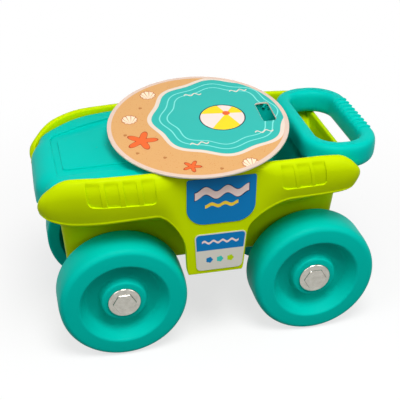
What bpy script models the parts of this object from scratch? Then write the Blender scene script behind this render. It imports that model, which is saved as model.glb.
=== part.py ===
"""Sand toy truck: a moulded body on four wheels with a lift-out sand bed and a round card on top.

Metres, +Z up. The front is towards -X, the near side towards -Y, and the wheels stand on Z = 0.
The sizes below are drawn from the middle plane of the body. At the end everything moves a little,
so that the origin lies below the middle of the whole toy with its card.
"""
import math

import bmesh
import bpy
from mathutils import Matrix, Vector

# Clearances
SEAT_GAP = 0.0003
RUN_GAP = 0.0003

# Main sizes: the bed runs forward from its rear bar, and the body rides above the wheels
BED_REAR_X = 0.1045
BED_LENGTH = 0.2620
BED_NOSE_X = BED_REAR_X - BED_LENGTH
RAIL_HALF_WIDTH = 0.0760
WHEEL_RADIUS = 0.0600
WHEEL_TOP = 2.0 * WHEEL_RADIUS
RAIL_ABOVE_WHEEL = 0.0715
RAIL_TOP = WHEEL_TOP + RAIL_ABOVE_WHEEL
WALL = 0.0026
RAIL_ROUND = 0.0042
RAIL_INNER = 0.0054
RAIL_DEPTH = 0.0090

# Wheels and axles
FRONT_AXLE_SETBACK = 0.0730
REAR_AXLE_SETBACK = 0.0050
FRONT_AXLE_X = BED_NOSE_X + FRONT_AXLE_SETBACK
REAR_AXLE_X = BED_REAR_X - REAR_AXLE_SETBACK
WHEEL_WIDTH = 0.0350
WHEEL_STANDOUT = 0.0033
WHEEL_FACE_Y = RAIL_HALF_WIDTH + WHEEL_STANDOUT
AXLE_RADIUS = 0.0040
RIM_WALL = 0.0045
SHOULDER_WIDTH = 0.0095
FACE_RADIUS = WHEEL_RADIUS - SHOULDER_WIDTH
SHOULDER_DEPTH = 0.0110
FACE_WIDTH = 0.0090
DISH_RADIUS = FACE_RADIUS - FACE_WIDTH
DISH_DEPTH = 0.0145
DISH_WALL_LEAN = 0.0075
DISH_FLOOR_RADIUS = DISH_RADIUS - DISH_WALL_LEAN
BOSS_RADIUS = 0.0225
BOSS_DEPTH = 0.0050
WEB = 0.0035
HUB_RADIUS = 0.0090
WHEEL_SEGMENTS = 28

# Push-on caps
CAP_RADIUS = 0.0154
CAP_HEIGHT = 0.0022
CAP_HEX_APOTHEM = 0.0098
CAP_HEX_HEIGHT = 0.0014
CAP_SOCKET = 0.0018
CAP_SEGMENTS = 18

# Hull of the body: narrow between the wheels, its floor above the axles
HULL_WHEEL_GAP = 0.0022
HULL_HALF_WIDTH = WHEEL_FACE_Y - WHEEL_WIDTH - WALL - HULL_WHEEL_GAP
FLOOR_ABOVE_AXLE = 0.0180
HULL_FLOOR = WHEEL_RADIUS + FLOOR_ABOVE_AXLE
SHOULDER_ABOVE_WHEEL = 0.0080
HULL_SHOULDER = WHEEL_TOP + SHOULDER_ABOVE_WHEEL
HULL_SETBACK = 0.0255
HULL_REACH = 0.0150
HULL_FRONT_X = BED_NOSE_X + HULL_SETBACK
HULL_REAR_X = BED_REAR_X + HULL_REACH
HULL_DRAFT = 0.0040
CARRIER_THICKNESS = 0.0120
CARRIER_INSET = 0.0015
CARRIER_OUTER_Y = HULL_HALF_WIDTH - CARRIER_INSET
CARRIER_RADIUS = 0.0105

# Sand bed
HOOD_LENGTH = 0.1095
DECK_BELOW_RAIL = 0.0035
SIDE_DECK_BELOW_RAIL = 0.0085
REAR_BAR_BELOW_RAIL = 0.0050
DECK_TOP = RAIL_TOP - DECK_BELOW_RAIL
SIDE_DECK_TOP = RAIL_TOP - SIDE_DECK_BELOW_RAIL
REAR_BAR_TOP = RAIL_TOP - REAR_BAR_BELOW_RAIL
BED_RAIL_GAP = 0.0068
NOSE_ROLL = 0.0125
NOSE_EDGE = DECK_TOP - NOSE_ROLL
NOSE_DROP = 0.0280
BED_EDGE_DROP = 0.0090
SKIRT_DRAFT = 0.022
TUB_REAR_WALL = 0.0145
TUB_FRONT_X = BED_NOSE_X + HOOD_LENGTH
TUB_REAR_X = BED_REAR_X - TUB_REAR_WALL
TUB_SLOPE = 0.0280
NEST_GAP = 0.0010
PAD_HALF_WIDTH = 0.0320
PAD_SETBACK = 0.0285
PAD_HEIGHT = 0.0012

# Grip handle at the rear of the bed
GRIP_BAR_INSET = 0.0085
GRIP_DEPTH = 0.0565
GRIP_FRONT_X = BED_REAR_X - GRIP_BAR_INSET
GRIP_X = GRIP_FRONT_X + GRIP_DEPTH
GRIP_WIDTH = 0.0160
GRIP_RAIL_GAP = 0.0018
GRIP_HALF_SPAN = RAIL_HALF_WIDTH - RAIL_INNER - GRIP_RAIL_GAP - 0.5 * GRIP_WIDTH
GRIP_HEIGHT = 0.0235
GRIP_BELOW_RAIL = 0.0081
GRIP_MIDDLE_Z = RAIL_TOP - GRIP_BELOW_RAIL
GRIP_CORNER = 0.0260
GRIP_CORNER_STEPS = 5
FINGER_RIB_HEIGHT = 0.0010
FINGER_RIB_PITCH = 0.0082

# Rim of the body, with a pod over each wheel and a skirt between the wheels
TIP_SETBACK = 0.0063
FRONT_RIM_SETBACK = 0.0170
FRONT_TIP_X = BED_NOSE_X + TIP_SETBACK
FRONT_RIM_X = BED_NOSE_X + FRONT_RIM_SETBACK
REAR_TIP_REACH = 0.0195
REAR_RIM_REACH = 0.0280
REAR_TIP_X = BED_REAR_X + REAR_TIP_REACH
REAR_RIM_X = BED_REAR_X + REAR_RIM_REACH
TIP_INSET = 0.0160
TIP_HALF_WIDTH = RAIL_HALF_WIDTH - TIP_INSET
TIP_BELOW_RAIL = 0.0215
TIP_TOP = RAIL_TOP - TIP_BELOW_RAIL
FRONT_RIM_GAP = 0.0075
FRONT_RIM_TOP = NOSE_EDGE - NOSE_DROP - FRONT_RIM_GAP
REAR_RIM_GAP = 0.00165
REAR_RIM_TOP = GRIP_MIDDLE_Z - 0.5 * GRIP_HEIGHT - REAR_RIM_GAP
POD_BULGE = 0.0036
POD_TUCK = 0.0025
FRONT_POD_HEIGHT = 0.0497
FRONT_ARCH_HEIGHT = 0.0425
REAR_POD_HEIGHT = 0.0370
FRONT_POD_BOTTOM = RAIL_TOP - FRONT_POD_HEIGHT
FRONT_ARCH_TOP = RAIL_TOP - FRONT_ARCH_HEIGHT
REAR_POD_BOTTOM = RAIL_TOP - REAR_POD_HEIGHT
SKIRT_ABOVE_AXLE = 0.0270
SKIRT_BOTTOM = WHEEL_RADIUS + SKIRT_ABOVE_AXLE
FRONT_SKIRT_UNDERCUT = 0.0005
REAR_SKIRT_GAP = 0.0150
SKIRT_FRONT_X = FRONT_AXLE_X + WHEEL_RADIUS - FRONT_SKIRT_UNDERCUT
SKIRT_REAR_X = REAR_AXLE_X - WHEEL_RADIUS - REAR_SKIRT_GAP
RIM_DROP = 0.0100
EDGE_RETURN = 0.0070

# Grip windows moulded into the pods: lengths along X, heights as shares of the pod's height
WINDOW_DEPTH = 0.0013
WINDOW_TOP_SHARE = 0.04
WINDOW_RIB = 0.0030
WINDOW_CORNER_SHARE = 0.10
FRONT_WINDOWS = 4
FRONT_WINDOWS_SETBACK = 0.0372
FRONT_WINDOWS_LENGTH = 0.0580
FRONT_WINDOW_LOW_SHARE = 0.42
REAR_WINDOWS = 3
REAR_WINDOWS_SETBACK = 0.0675
REAR_WINDOWS_LENGTH = 0.0405
REAR_WINDOW_LOW_SHARE = 0.56

# Card and labels
CARD_RADIUS = 0.0830
CARD_THICKNESS = 0.0018
CARD_X = -0.0023
CARD_Y = -0.0112
CARD_TILT = math.radians(7.0)
CARD_LEAN = math.radians(-2.8)
SLOT_EDGE = 0.0177
SLOT_Y = 0.0040
SLOT_LENGTH = 0.0312
SLOT_WIDTH = 0.0126
LABEL_THICKNESS = 0.0004
UPPER_LABEL_HEIGHT = 0.0485
UPPER_LABEL_DROP = 0.0065
UPPER_LABEL_CORNER = 0.0150
LOWER_LABEL_HEIGHT = 0.0360
LOWER_LABEL_RISE = 0.0040

# Middle of the whole toy, seen from above: the card reaches out further on the near side
MIDDLE_X = 0.0014
MIDDLE_Y = -0.0059

# Colours
TEAL = (0.0, 0.55, 0.46)
LIME = (0.47, 0.66, 0.0)
STEEL = (0.60, 0.60, 0.58)
BRIGHT = (0.78, 0.77, 0.75)
BLUE = (0.0, 0.13, 0.36)
SAND = (0.93, 0.60, 0.30)


def clear_scene():
    for item in list(bpy.data.objects):
        bpy.data.objects.remove(item, do_unlink=True)


def finish(name, colour, roughness, metallic=0.0):
    """A plain shaded material with one colour."""
    material = bpy.data.materials.new(name)
    material.use_nodes = True
    shader = material.node_tree.nodes["Principled BSDF"]
    shader.inputs["Base Color"].default_value = (*colour, 1.0)
    shader.inputs["Roughness"].default_value = roughness
    shader.inputs["Metallic"].default_value = metallic
    return material


def make_object(name, builder, material, location=(0.0, 0.0, 0.0)):
    """Turn a bmesh into a named object with its faces pointing outwards."""
    bmesh.ops.recalc_face_normals(builder, faces=builder.faces)
    mesh = bpy.data.meshes.new(name)
    builder.to_mesh(mesh)
    builder.free()
    mesh.shade_smooth()
    mesh.set_sharp_from_angle(angle=math.radians(35))
    if material is not None:
        mesh.materials.append(material)
    item = bpy.data.objects.new(name, mesh)
    item.location = location
    bpy.context.collection.objects.link(item)
    return item


def hide_tool(item):
    """A tool body shapes another object and is not a piece of the toy."""
    item.hide_render = True
    item.display_type = "WIRE"
    return item


def combine(item, tool, operation):
    hide_tool(tool)
    modifier = item.modifiers.new(tool.name, "BOOLEAN")
    modifier.operation = operation
    modifier.solver = "EXACT"
    modifier.object = tool


def smooth_path(knots, values, at):
    """Monotone cubic curve through the knots, so that it never swings past them."""
    count = len(knots)
    steps = [knots[i + 1] - knots[i] for i in range(count - 1)]
    rises = [(values[i + 1] - values[i]) / steps[i] for i in range(count - 1)]
    slopes = [0.0] * count
    for i in range(1, count - 1):
        if rises[i - 1] * rises[i] > 0.0:
            first = 2.0 * steps[i] + steps[i - 1]
            second = steps[i] + 2.0 * steps[i - 1]
            slopes[i] = (first + second) / (first / rises[i - 1] + second / rises[i])
    span = min(max(sum(1 for knot in knots[1:-1] if at >= knot), 0), count - 2)
    step = steps[span]
    s = (at - knots[span]) / step
    low = (1 + 2 * s) * (1 - s) ** 2 * values[span] + s * (1 - s) ** 2 * step * slopes[span]
    high = s * s * (3 - 2 * s) * values[span + 1] + s * s * (s - 1) * step * slopes[span + 1]
    return low + high


def guide_point(guide, at):
    """A point on a guide curve: distance along, half width and height."""
    knots = range(len(guide))
    return Vector([smooth_path(knots, [point[axis] for point in guide], at) for axis in range(3)])


def outward(at):
    """Direction away from the middle of the body, seen from above."""
    turn = math.radians(smooth_path(range(len(FACING)), FACING, at))
    return Vector((math.cos(turn), math.sin(turn), 0.0))


def station_list(counts):
    """Positions along a guide curve, with a number of steps for each span."""
    stations = [0.0]
    for span, count in enumerate(counts):
        stations += [span + (step + 1) / count for step in range(count)]
    return stations


def add_ring(builder, half):
    """A closed ring: the near half as given and its mirror image on the far side."""
    near = [builder.verts.new((point.x, -point.y, point.z)) for point in half]
    far = [builder.verts.new((point.x, point.y, point.z)) for point in reversed(half[1:-1])]
    return near + far


def moulded_sheet(name, rings, material):
    """A thin-walled moulding: rings from the floor out to the edge, given one wall thickness."""
    builder = bmesh.new()
    loops = [add_ring(builder, half) for half in rings]
    columns = len(loops[0])
    middle = builder.verts.new((sum(v.co.x for v in loops[0]) / columns, 0.0, rings[0][0].z))
    for column in range(columns):
        after = (column + 1) % columns
        builder.faces.new((middle, loops[0][after], loops[0][column]))
        for inner, outer in zip(loops, loops[1:]):
            builder.faces.new((inner[column], inner[after], outer[after], outer[column]))
    item = make_object(name, builder, material)
    if item.data.polygons[0].normal.z < 0.0:
        item.data.flip_normals()
    wall = item.modifiers.new("wall", "SOLIDIFY")
    wall.thickness = WALL
    wall.offset = -1.0
    wall.use_even_offset = False
    wall.use_rim = True
    return item


# Guide curves of the body, from the middle of the front to the middle of the rear
CREST = (
    (FRONT_RIM_X, 0.0, FRONT_RIM_TOP),
    (FRONT_RIM_X, TIP_HALF_WIDTH - 0.0300, FRONT_RIM_TOP),
    (FRONT_TIP_X, TIP_HALF_WIDTH, TIP_TOP),
    (FRONT_TIP_X + 0.0015, TIP_HALF_WIDTH + 0.0030, TIP_TOP + 0.0095),
    (FRONT_TIP_X + 0.0090, RAIL_HALF_WIDTH - 0.0100, RAIL_TOP - 0.0042),
    (FRONT_TIP_X + 0.0255, RAIL_HALF_WIDTH - 0.0077, RAIL_TOP - 0.0006),
    (FRONT_TIP_X + 0.0545, RAIL_HALF_WIDTH - 0.0045, RAIL_TOP - 0.0001),
    (FRONT_TIP_X + 0.0937, RAIL_HALF_WIDTH - 0.0003, RAIL_TOP),
    (SKIRT_FRONT_X - 0.0070, RAIL_HALF_WIDTH, RAIL_TOP),
    (SKIRT_FRONT_X + 0.0040, RAIL_HALF_WIDTH, RAIL_TOP),
    (SKIRT_REAR_X + 0.0010, RAIL_HALF_WIDTH, RAIL_TOP),
    (SKIRT_REAR_X + 0.0120, RAIL_HALF_WIDTH, RAIL_TOP),
    (SKIRT_REAR_X + 0.0380, RAIL_HALF_WIDTH - 0.0003, RAIL_TOP),
    (REAR_TIP_X - 0.0285, RAIL_HALF_WIDTH - 0.0020, RAIL_TOP - 0.0001),
    (REAR_TIP_X - 0.0110, RAIL_HALF_WIDTH - 0.0023, RAIL_TOP - 0.0009),
    (REAR_TIP_X, RAIL_HALF_WIDTH - 0.0028, RAIL_TOP - 0.0053),
    (REAR_TIP_X + 0.0070, RAIL_HALF_WIDTH - 0.0038, RAIL_TOP - 0.0145),
    (REAR_RIM_X, RAIL_HALF_WIDTH - 0.0160, REAR_RIM_TOP + 0.0005),
    (REAR_RIM_X, 0.0, REAR_RIM_TOP),
)
EDGE_STATIONS = (
    (FRONT_RIM_X - RAIL_ROUND, FRONT_RIM_TOP - RIM_DROP),
    (FRONT_RIM_X - RAIL_ROUND, FRONT_RIM_TOP - RIM_DROP),
    (FRONT_TIP_X - 0.0020, TIP_TOP - RIM_DROP - 0.0050),
    (FRONT_TIP_X - 0.0010, FRONT_POD_BOTTOM + 0.0082),
    (FRONT_TIP_X + 0.0080, FRONT_POD_BOTTOM + 0.0040),
    (FRONT_TIP_X + 0.0240, FRONT_POD_BOTTOM + 0.0010),
    (FRONT_TIP_X + 0.0465, FRONT_POD_BOTTOM),
    (FRONT_TIP_X + 0.0957, FRONT_ARCH_TOP),
    (SKIRT_FRONT_X - 0.0035, FRONT_ARCH_TOP - 0.0310),
    (SKIRT_FRONT_X, SKIRT_BOTTOM),
    (SKIRT_REAR_X, SKIRT_BOTTOM),
    (SKIRT_REAR_X + 0.0045, REAR_POD_BOTTOM - 0.0255),
    (SKIRT_REAR_X + 0.0360, REAR_POD_BOTTOM - 0.0025),
    (REAR_TIP_X - 0.0265, REAR_POD_BOTTOM - 0.0005),
    (REAR_TIP_X - 0.0095, REAR_POD_BOTTOM + 0.0008),
    (REAR_TIP_X + 0.0015, REAR_POD_BOTTOM + 0.0030),
    (REAR_TIP_X + 0.0090, REAR_POD_BOTTOM + 0.0062),
    (REAR_RIM_X + RAIL_ROUND, REAR_RIM_TOP - RIM_DROP - 0.0010),
    (REAR_RIM_X + RAIL_ROUND, REAR_RIM_TOP - RIM_DROP - 0.0010),
)
HULL = (
    (HULL_FRONT_X, 0.0, 0.0),
    (HULL_FRONT_X, HULL_HALF_WIDTH - 0.0080, 0.0),
    (HULL_FRONT_X + 0.0030, HULL_HALF_WIDTH - 0.0025, 0.0),
    (HULL_FRONT_X + 0.0080, HULL_HALF_WIDTH - 0.0006, 0.0),
    (HULL_FRONT_X + 0.0150, HULL_HALF_WIDTH, 0.0),
    (HULL_FRONT_X + 0.0230, HULL_HALF_WIDTH, 0.0),
    (CREST[6][0], HULL_HALF_WIDTH, 0.0),
    (CREST[7][0], HULL_HALF_WIDTH, 0.0),
    (CREST[8][0], HULL_HALF_WIDTH, 0.0),
    (CREST[9][0], HULL_HALF_WIDTH, 0.0),
    (CREST[10][0], HULL_HALF_WIDTH, 0.0),
    (CREST[11][0], HULL_HALF_WIDTH, 0.0),
    (CREST[12][0], HULL_HALF_WIDTH, 0.0),
    (HULL_REAR_X - 0.0220, HULL_HALF_WIDTH, 0.0),
    (HULL_REAR_X - 0.0120, HULL_HALF_WIDTH - 0.0012, 0.0),
    (HULL_REAR_X - 0.0050, HULL_HALF_WIDTH - 0.0050, 0.0),
    (HULL_REAR_X - 0.0015, HULL_HALF_WIDTH - 0.0105, 0.0),
    (HULL_REAR_X, HULL_HALF_WIDTH - 0.0180, 0.0),
    (HULL_REAR_X, 0.0, 0.0),
)
FACING = (180, 180, 135, 126, 114, 104, 98, 92, 90, 90, 90, 90, 90, 87, 80, 66, 45, 10, 0)
RETURN = (0.35, 0.35, 0.35, 0.6, 1.0) + (1.0,) * 9 + (0.8, 0.5, 0.4, 0.35, 0.35)
BULGE = (0.0, 0.0, 0.5, 0.9) + (1.0,) * 4 + (0.0,) * 4 + (1.0,) * 4 + (0.8, 0.3, 0.0)
BODY_STEPS = (1, 3, 2, 2, 2, 2, 2, 3, 3, 1, 3, 3, 2, 2, 2, 2, 2, 1)


def rim_point(at, aside, down):
    """A point beside the crest of the rim."""
    return guide_point(CREST, at) + outward(at) * aside - Vector((0.0, 0.0, down))


def edge_point(at):
    """A point on the lower edge of the turned-down rim."""
    knots = range(len(EDGE_STATIONS))
    x = smooth_path(knots, [point[0] for point in EDGE_STATIONS], at)
    z = smooth_path(knots, [point[1] for point in EDGE_STATIONS], at)
    swell = smooth_path(range(len(BULGE)), BULGE, at)
    side = guide_point(CREST, at) + outward(at) * (RAIL_ROUND - POD_TUCK * swell)
    return Vector((x, side.y, z))


def skin_point(at, share, lift=0.0):
    """A point on the outer skin: share runs from the rim at 0 down to the lower edge at 1."""
    top = rim_point(at, RAIL_ROUND, RAIL_ROUND)
    low = edge_point(at)
    swell = smooth_path(range(len(BULGE)), BULGE, at) * POD_BULGE
    reach = swell * math.sin(math.pi * min(share, 0.92)) + lift
    return top.lerp(low, share) + outward(at) * reach


def edge_return(at):
    """Width of the flange turned in below the lower edge."""
    return EDGE_RETURN * smooth_path(range(len(RETURN)), RETURN, at)


def hull_point(at, height, inset=0.0):
    """A point on the inside of the hull wall at a height, drawn in towards the floor."""
    inset += HULL_DRAFT * (HULL_SHOULDER - height) / (HULL_SHOULDER - HULL_FLOOR)
    half = 0.5 * (HULL_REAR_X - HULL_FRONT_X)
    middle = 0.5 * (HULL_REAR_X + HULL_FRONT_X)
    point = guide_point(HULL, at)
    x = middle + (point.x - middle) * (1.0 - inset / half)
    return Vector((x, point.y * (1.0 - inset / HULL_HALF_WIDTH), height))


def hull_top(at):
    return rim_point(at, -RAIL_INNER, RAIL_DEPTH)


def hull_shoulder(at):
    return hull_point(at, min(HULL_SHOULDER, hull_top(at).z - 0.0120))


def hull_flare(at):
    """The hull widens above the wheels before it rises to the rim."""
    low = hull_shoulder(at)
    high = hull_top(at)
    rise = high.z - low.z
    point = low.lerp(high, min(16.0 * rise, 0.80))
    point.z = low.z + 0.32 * rise
    return point


def body_rings(stations):
    floor_round = 0.0050
    return [
        [hull_point(at, HULL_FLOOR, floor_round) for at in stations],
        [hull_point(at, HULL_FLOOR + floor_round) for at in stations],
        [hull_shoulder(at) for at in stations],
        [hull_flare(at) for at in stations],
        [hull_top(at) for at in stations],
        [rim_point(at, -0.6 * RAIL_INNER, 0.18 * RAIL_DEPTH) for at in stations],
        [rim_point(at, 0.0, 0.0) for at in stations],
        [rim_point(at, RAIL_ROUND * 0.75, RAIL_ROUND * 0.30) for at in stations],
        [skin_point(at, 0.0) for at in stations],
        [skin_point(at, 0.30) for at in stations],
        [skin_point(at, 0.65) for at in stations],
        [edge_point(at) for at in stations],
        [edge_point(at) - outward(at) * edge_return(at) for at in stations],
    ]


def settle_middle(rings):
    """Both ends of each half ring lie on the middle plane of the toy."""
    for half in rings:
        half[0].y = 0.0
        half[-1].y = 0.0
    return rings


def station_at(x, share):
    """The place along the rim where the skin has a given X, found by halving the search."""
    low = 2.0
    high = 16.0
    for _ in range(40):
        middle = 0.5 * (low + high)
        if skin_point(middle, share).x < x:
            low = middle
        else:
            high = middle
    return low


def window_cutter(x, width, bottom, first, last, side):
    """A shallow slab that follows the skin of a pod, round at the outer lower corners of its group."""
    corner = 0.3 * width
    turn_in = bottom - WINDOW_CORNER_SHARE
    nearly = bottom - 0.3 * WINDOW_CORNER_SHARE
    end = x + width
    outline = [(x, WINDOW_TOP_SHARE), (x, 0.5 * (WINDOW_TOP_SHARE + turn_in))]
    if first:
        outline += [(x, turn_in), (x + 0.3 * corner, nearly), (x + corner, bottom)]
    else:
        outline += [(x, bottom)]
    if last:
        outline += [(end - corner, bottom), (end - 0.3 * corner, nearly), (end, turn_in)]
    else:
        outline += [(end, bottom)]
    outline += [(end, 0.5 * (WINDOW_TOP_SHARE + turn_in)), (end, WINDOW_TOP_SHARE)]

    def on_skin(a, b, c):
        point = skin_point(station_at(a, b), b, c)
        return (point.x, side * point.y, point.z)

    return plate(outline, -WINDOW_DEPTH, 2.0 * WINDOW_DEPTH, on_skin)


def cut_windows(body, name, count, start, length, bottom):
    """A row of grip windows with narrow ribs between them, on both sides of the body."""
    pitch = (length + WINDOW_RIB) / count
    for side in (-1, 1):
        for number in range(count):
            x = start + number * pitch
            slab = window_cutter(x, pitch - WINDOW_RIB, bottom, number == 0, number == count - 1, side)
            combine(body, make_object(f"{name}_{side}_{number}", slab, None), "DIFFERENCE")


def axle_carrier(x, side):
    """A lug under the hull floor that carries an axle, rounded below."""
    builder = bmesh.new()
    steps = 10
    outline = [(-CARRIER_RADIUS, HULL_FLOOR - WALL / 2)]
    for step in range(steps + 1):
        turn = math.pi + math.pi * step / steps
        outline.append((CARRIER_RADIUS * math.cos(turn), WHEEL_RADIUS + CARRIER_RADIUS * math.sin(turn)))
    outline.append((CARRIER_RADIUS, HULL_FLOOR - WALL / 2))
    inner = side * (CARRIER_OUTER_Y - CARRIER_THICKNESS)
    face = builder.faces.new([builder.verts.new((x + px, inner, pz)) for px, pz in outline])
    grown = bmesh.ops.extrude_face_region(builder, geom=[face])["geom"]
    moved = [part for part in grown if isinstance(part, bmesh.types.BMVert)]
    bmesh.ops.translate(builder, verts=moved, vec=(0.0, side * CARRIER_THICKNESS, 0.0))
    return builder


def rod(radius, length, segments):
    """A rod along Y, centred on the origin."""
    builder = bmesh.new()
    turn = Matrix.Rotation(math.pi / 2, 4, "X")
    bmesh.ops.create_cone(builder, cap_ends=True, segments=segments, radius1=radius, radius2=radius,
                          depth=length, matrix=turn)
    return builder


def make_body(material):
    stations = station_list(BODY_STEPS)
    body = moulded_sheet("body_shell", settle_middle(body_rings(stations)), material)
    for end, x in axle_places():
        for side in (-1, 1):
            tool = make_object(f"carrier_{end}_{side}", axle_carrier(x, side), None)
            combine(body, tool, "UNION")
        bore = rod(AXLE_RADIUS + RUN_GAP, 2 * CARRIER_OUTER_Y + 0.004, 20)
        combine(body, make_object(f"axle_bore_{end}", bore, None, (x, 0.0, WHEEL_RADIUS)), "DIFFERENCE")
    cut_windows(body, "front_window", FRONT_WINDOWS, FRONT_TIP_X + FRONT_WINDOWS_SETBACK,
                FRONT_WINDOWS_LENGTH, FRONT_WINDOW_LOW_SHARE)
    cut_windows(body, "rear_window", REAR_WINDOWS, REAR_TIP_X - REAR_WINDOWS_SETBACK,
                REAR_WINDOWS_LENGTH, REAR_WINDOW_LOW_SHARE)
    return body


def axle_places():
    return (("front", FRONT_AXLE_X), ("rear", REAR_AXLE_X))


def lathe(profile, segments):
    """Turn a closed profile of (radius, depth) about the Y axis; depth runs towards +Y."""
    builder = bmesh.new()
    rings = []
    for step in range(segments):
        turn = 2.0 * math.pi * step / segments
        rings.append([builder.verts.new((r * math.cos(turn), d, r * math.sin(turn))) for r, d in profile])
    for step in range(segments):
        here = rings[step]
        there = rings[(step + 1) % segments]
        for point in range(len(profile)):
            after = (point + 1) % len(profile)
            builder.faces.new((here[point], here[after], there[after], there[point]))
    return builder


def wheel_profile():
    """Closed section of a wheel: dished outside, hollow at the back, depth from the outer face."""
    bore = AXLE_RADIUS + RUN_GAP
    hub_end = WHEEL_FACE_Y - CARRIER_OUTER_Y - RUN_GAP
    back = DISH_DEPTH + WEB
    inner = WHEEL_RADIUS - RIM_WALL
    return [
        (bore, BOSS_DEPTH),
        (BOSS_RADIUS - 0.0025, BOSS_DEPTH),
        (BOSS_RADIUS, DISH_DEPTH),
        (DISH_FLOOR_RADIUS, DISH_DEPTH),
        (DISH_RADIUS - 0.0018, 0.0026),
        (DISH_RADIUS, 0.0),
        (FACE_RADIUS, 0.0),
        (FACE_RADIUS + 0.70 * (WHEEL_RADIUS - FACE_RADIUS), 0.26 * SHOULDER_DEPTH),
        (WHEEL_RADIUS, SHOULDER_DEPTH),
        (WHEEL_RADIUS, WHEEL_WIDTH - 0.0030),
        (WHEEL_RADIUS - 0.0016, WHEEL_WIDTH),
        (inner, WHEEL_WIDTH),
        (inner, SHOULDER_DEPTH),
        (FACE_RADIUS, WEB),
        (DISH_RADIUS + WEB, WEB),
        (DISH_FLOOR_RADIUS + WEB, back),
        (HUB_RADIUS, back),
        (HUB_RADIUS, hub_end),
        (bore, hub_end),
    ]


def cap_body():
    """A round push-on cap with a raised hexagon and a blind socket for the axle end; the top faces -Y."""
    builder = bmesh.new()
    count = CAP_SEGMENTS
    turns = [2.0 * math.pi * step / count for step in range(count)]
    hexes = [1.0 / math.cos((turn % (math.pi / 3)) - math.pi / 6) for turn in turns]
    socket = AXLE_RADIUS + RUN_GAP
    rounds = [
        ([socket] * count, CAP_SOCKET),
        ([socket] * count, 0.0),
        ([CAP_RADIUS] * count, 0.0),
        ([CAP_RADIUS] * count, 0.45 * CAP_HEIGHT),
        ([CAP_RADIUS * 0.93] * count, CAP_HEIGHT),
        ([CAP_HEX_APOTHEM * h for h in hexes], CAP_HEIGHT),
        ([CAP_HEX_APOTHEM * h * 0.93 for h in hexes], CAP_HEIGHT + CAP_HEX_HEIGHT),
    ]
    loops = []
    for radii, height in rounds:
        ring = [(r * math.cos(turn), -height, r * math.sin(turn)) for r, turn in zip(radii, turns)]
        loops.append([builder.verts.new(place) for place in ring])
    for low, high in zip(loops, loops[1:]):
        for step in range(count):
            after = (step + 1) % count
            builder.faces.new((low[step], low[after], high[after], high[step]))
    builder.faces.new(loops[0])
    builder.faces.new(loops[-1])
    return builder


def make_running_gear(teal, steel, bright):
    """Two axles, each with a wheel and a cap at both ends, on an empty at the axle's centre."""
    cap_back = WHEEL_FACE_Y - BOSS_DEPTH + SEAT_GAP
    axle_length = 2.0 * (cap_back + CAP_SOCKET - SEAT_GAP)
    for end, x in axle_places():
        centre = bpy.data.objects.new(f"{end}_axle_line", None)
        centre.location = (x, 0.0, WHEEL_RADIUS)
        bpy.context.collection.objects.link(centre)
        pieces = [make_object(f"axle_{end}", rod(AXLE_RADIUS, axle_length, 20), steel)]
        for hand, side in (("left", -1), ("right", 1)):
            wheel = make_object(f"wheel_{end}_{hand}", lathe(wheel_profile(), WHEEL_SEGMENTS), teal)
            wheel.location.y = side * WHEEL_FACE_Y
            cap = make_object(f"cap_{end}_{hand}", cap_body(), bright)
            cap.location.y = side * cap_back
            for piece in (wheel, cap):
                piece.rotation_euler.z = 0.0 if side < 0 else math.pi
            pieces += [wheel, cap]
        for piece in pieces:
            piece.parent = centre


# Guide curves of the sand bed, from the middle of the nose to the middle of the rear bar
BED_HALF_WIDTH = RAIL_HALF_WIDTH - BED_RAIL_GAP
BED_EDGE = (
    (BED_NOSE_X, 0.0, NOSE_EDGE),
    (BED_NOSE_X + 0.0030, BED_HALF_WIDTH - 0.0330, NOSE_EDGE + 0.0003),
    (BED_NOSE_X + 0.0095, BED_HALF_WIDTH - 0.0175, NOSE_EDGE + 0.0020),
    (BED_NOSE_X + 0.0205, BED_HALF_WIDTH - 0.0105, DECK_TOP - 0.0065),
    (BED_NOSE_X + 0.0405, BED_HALF_WIDTH - 0.0070, DECK_TOP - 0.0032),
    (BED_NOSE_X + 0.0860, BED_HALF_WIDTH - 0.0010, DECK_TOP - 0.0020),
    (TUB_FRONT_X + 0.0300, BED_HALF_WIDTH, SIDE_DECK_TOP + 0.0015),
    (TUB_REAR_X - 0.0480, BED_HALF_WIDTH, SIDE_DECK_TOP),
    (BED_REAR_X - 0.0210, BED_HALF_WIDTH - 0.0010, SIDE_DECK_TOP),
    (BED_REAR_X - 0.0050, BED_HALF_WIDTH - 0.0080, REAR_BAR_TOP - 0.0030),
    (BED_REAR_X, BED_HALF_WIDTH - 0.0260, REAR_BAR_TOP - 0.0020),
    (BED_REAR_X, 0.0, REAR_BAR_TOP - 0.0020),
)
TUB_HALF_WIDTH = BED_HALF_WIDTH - 0.0055
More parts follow.
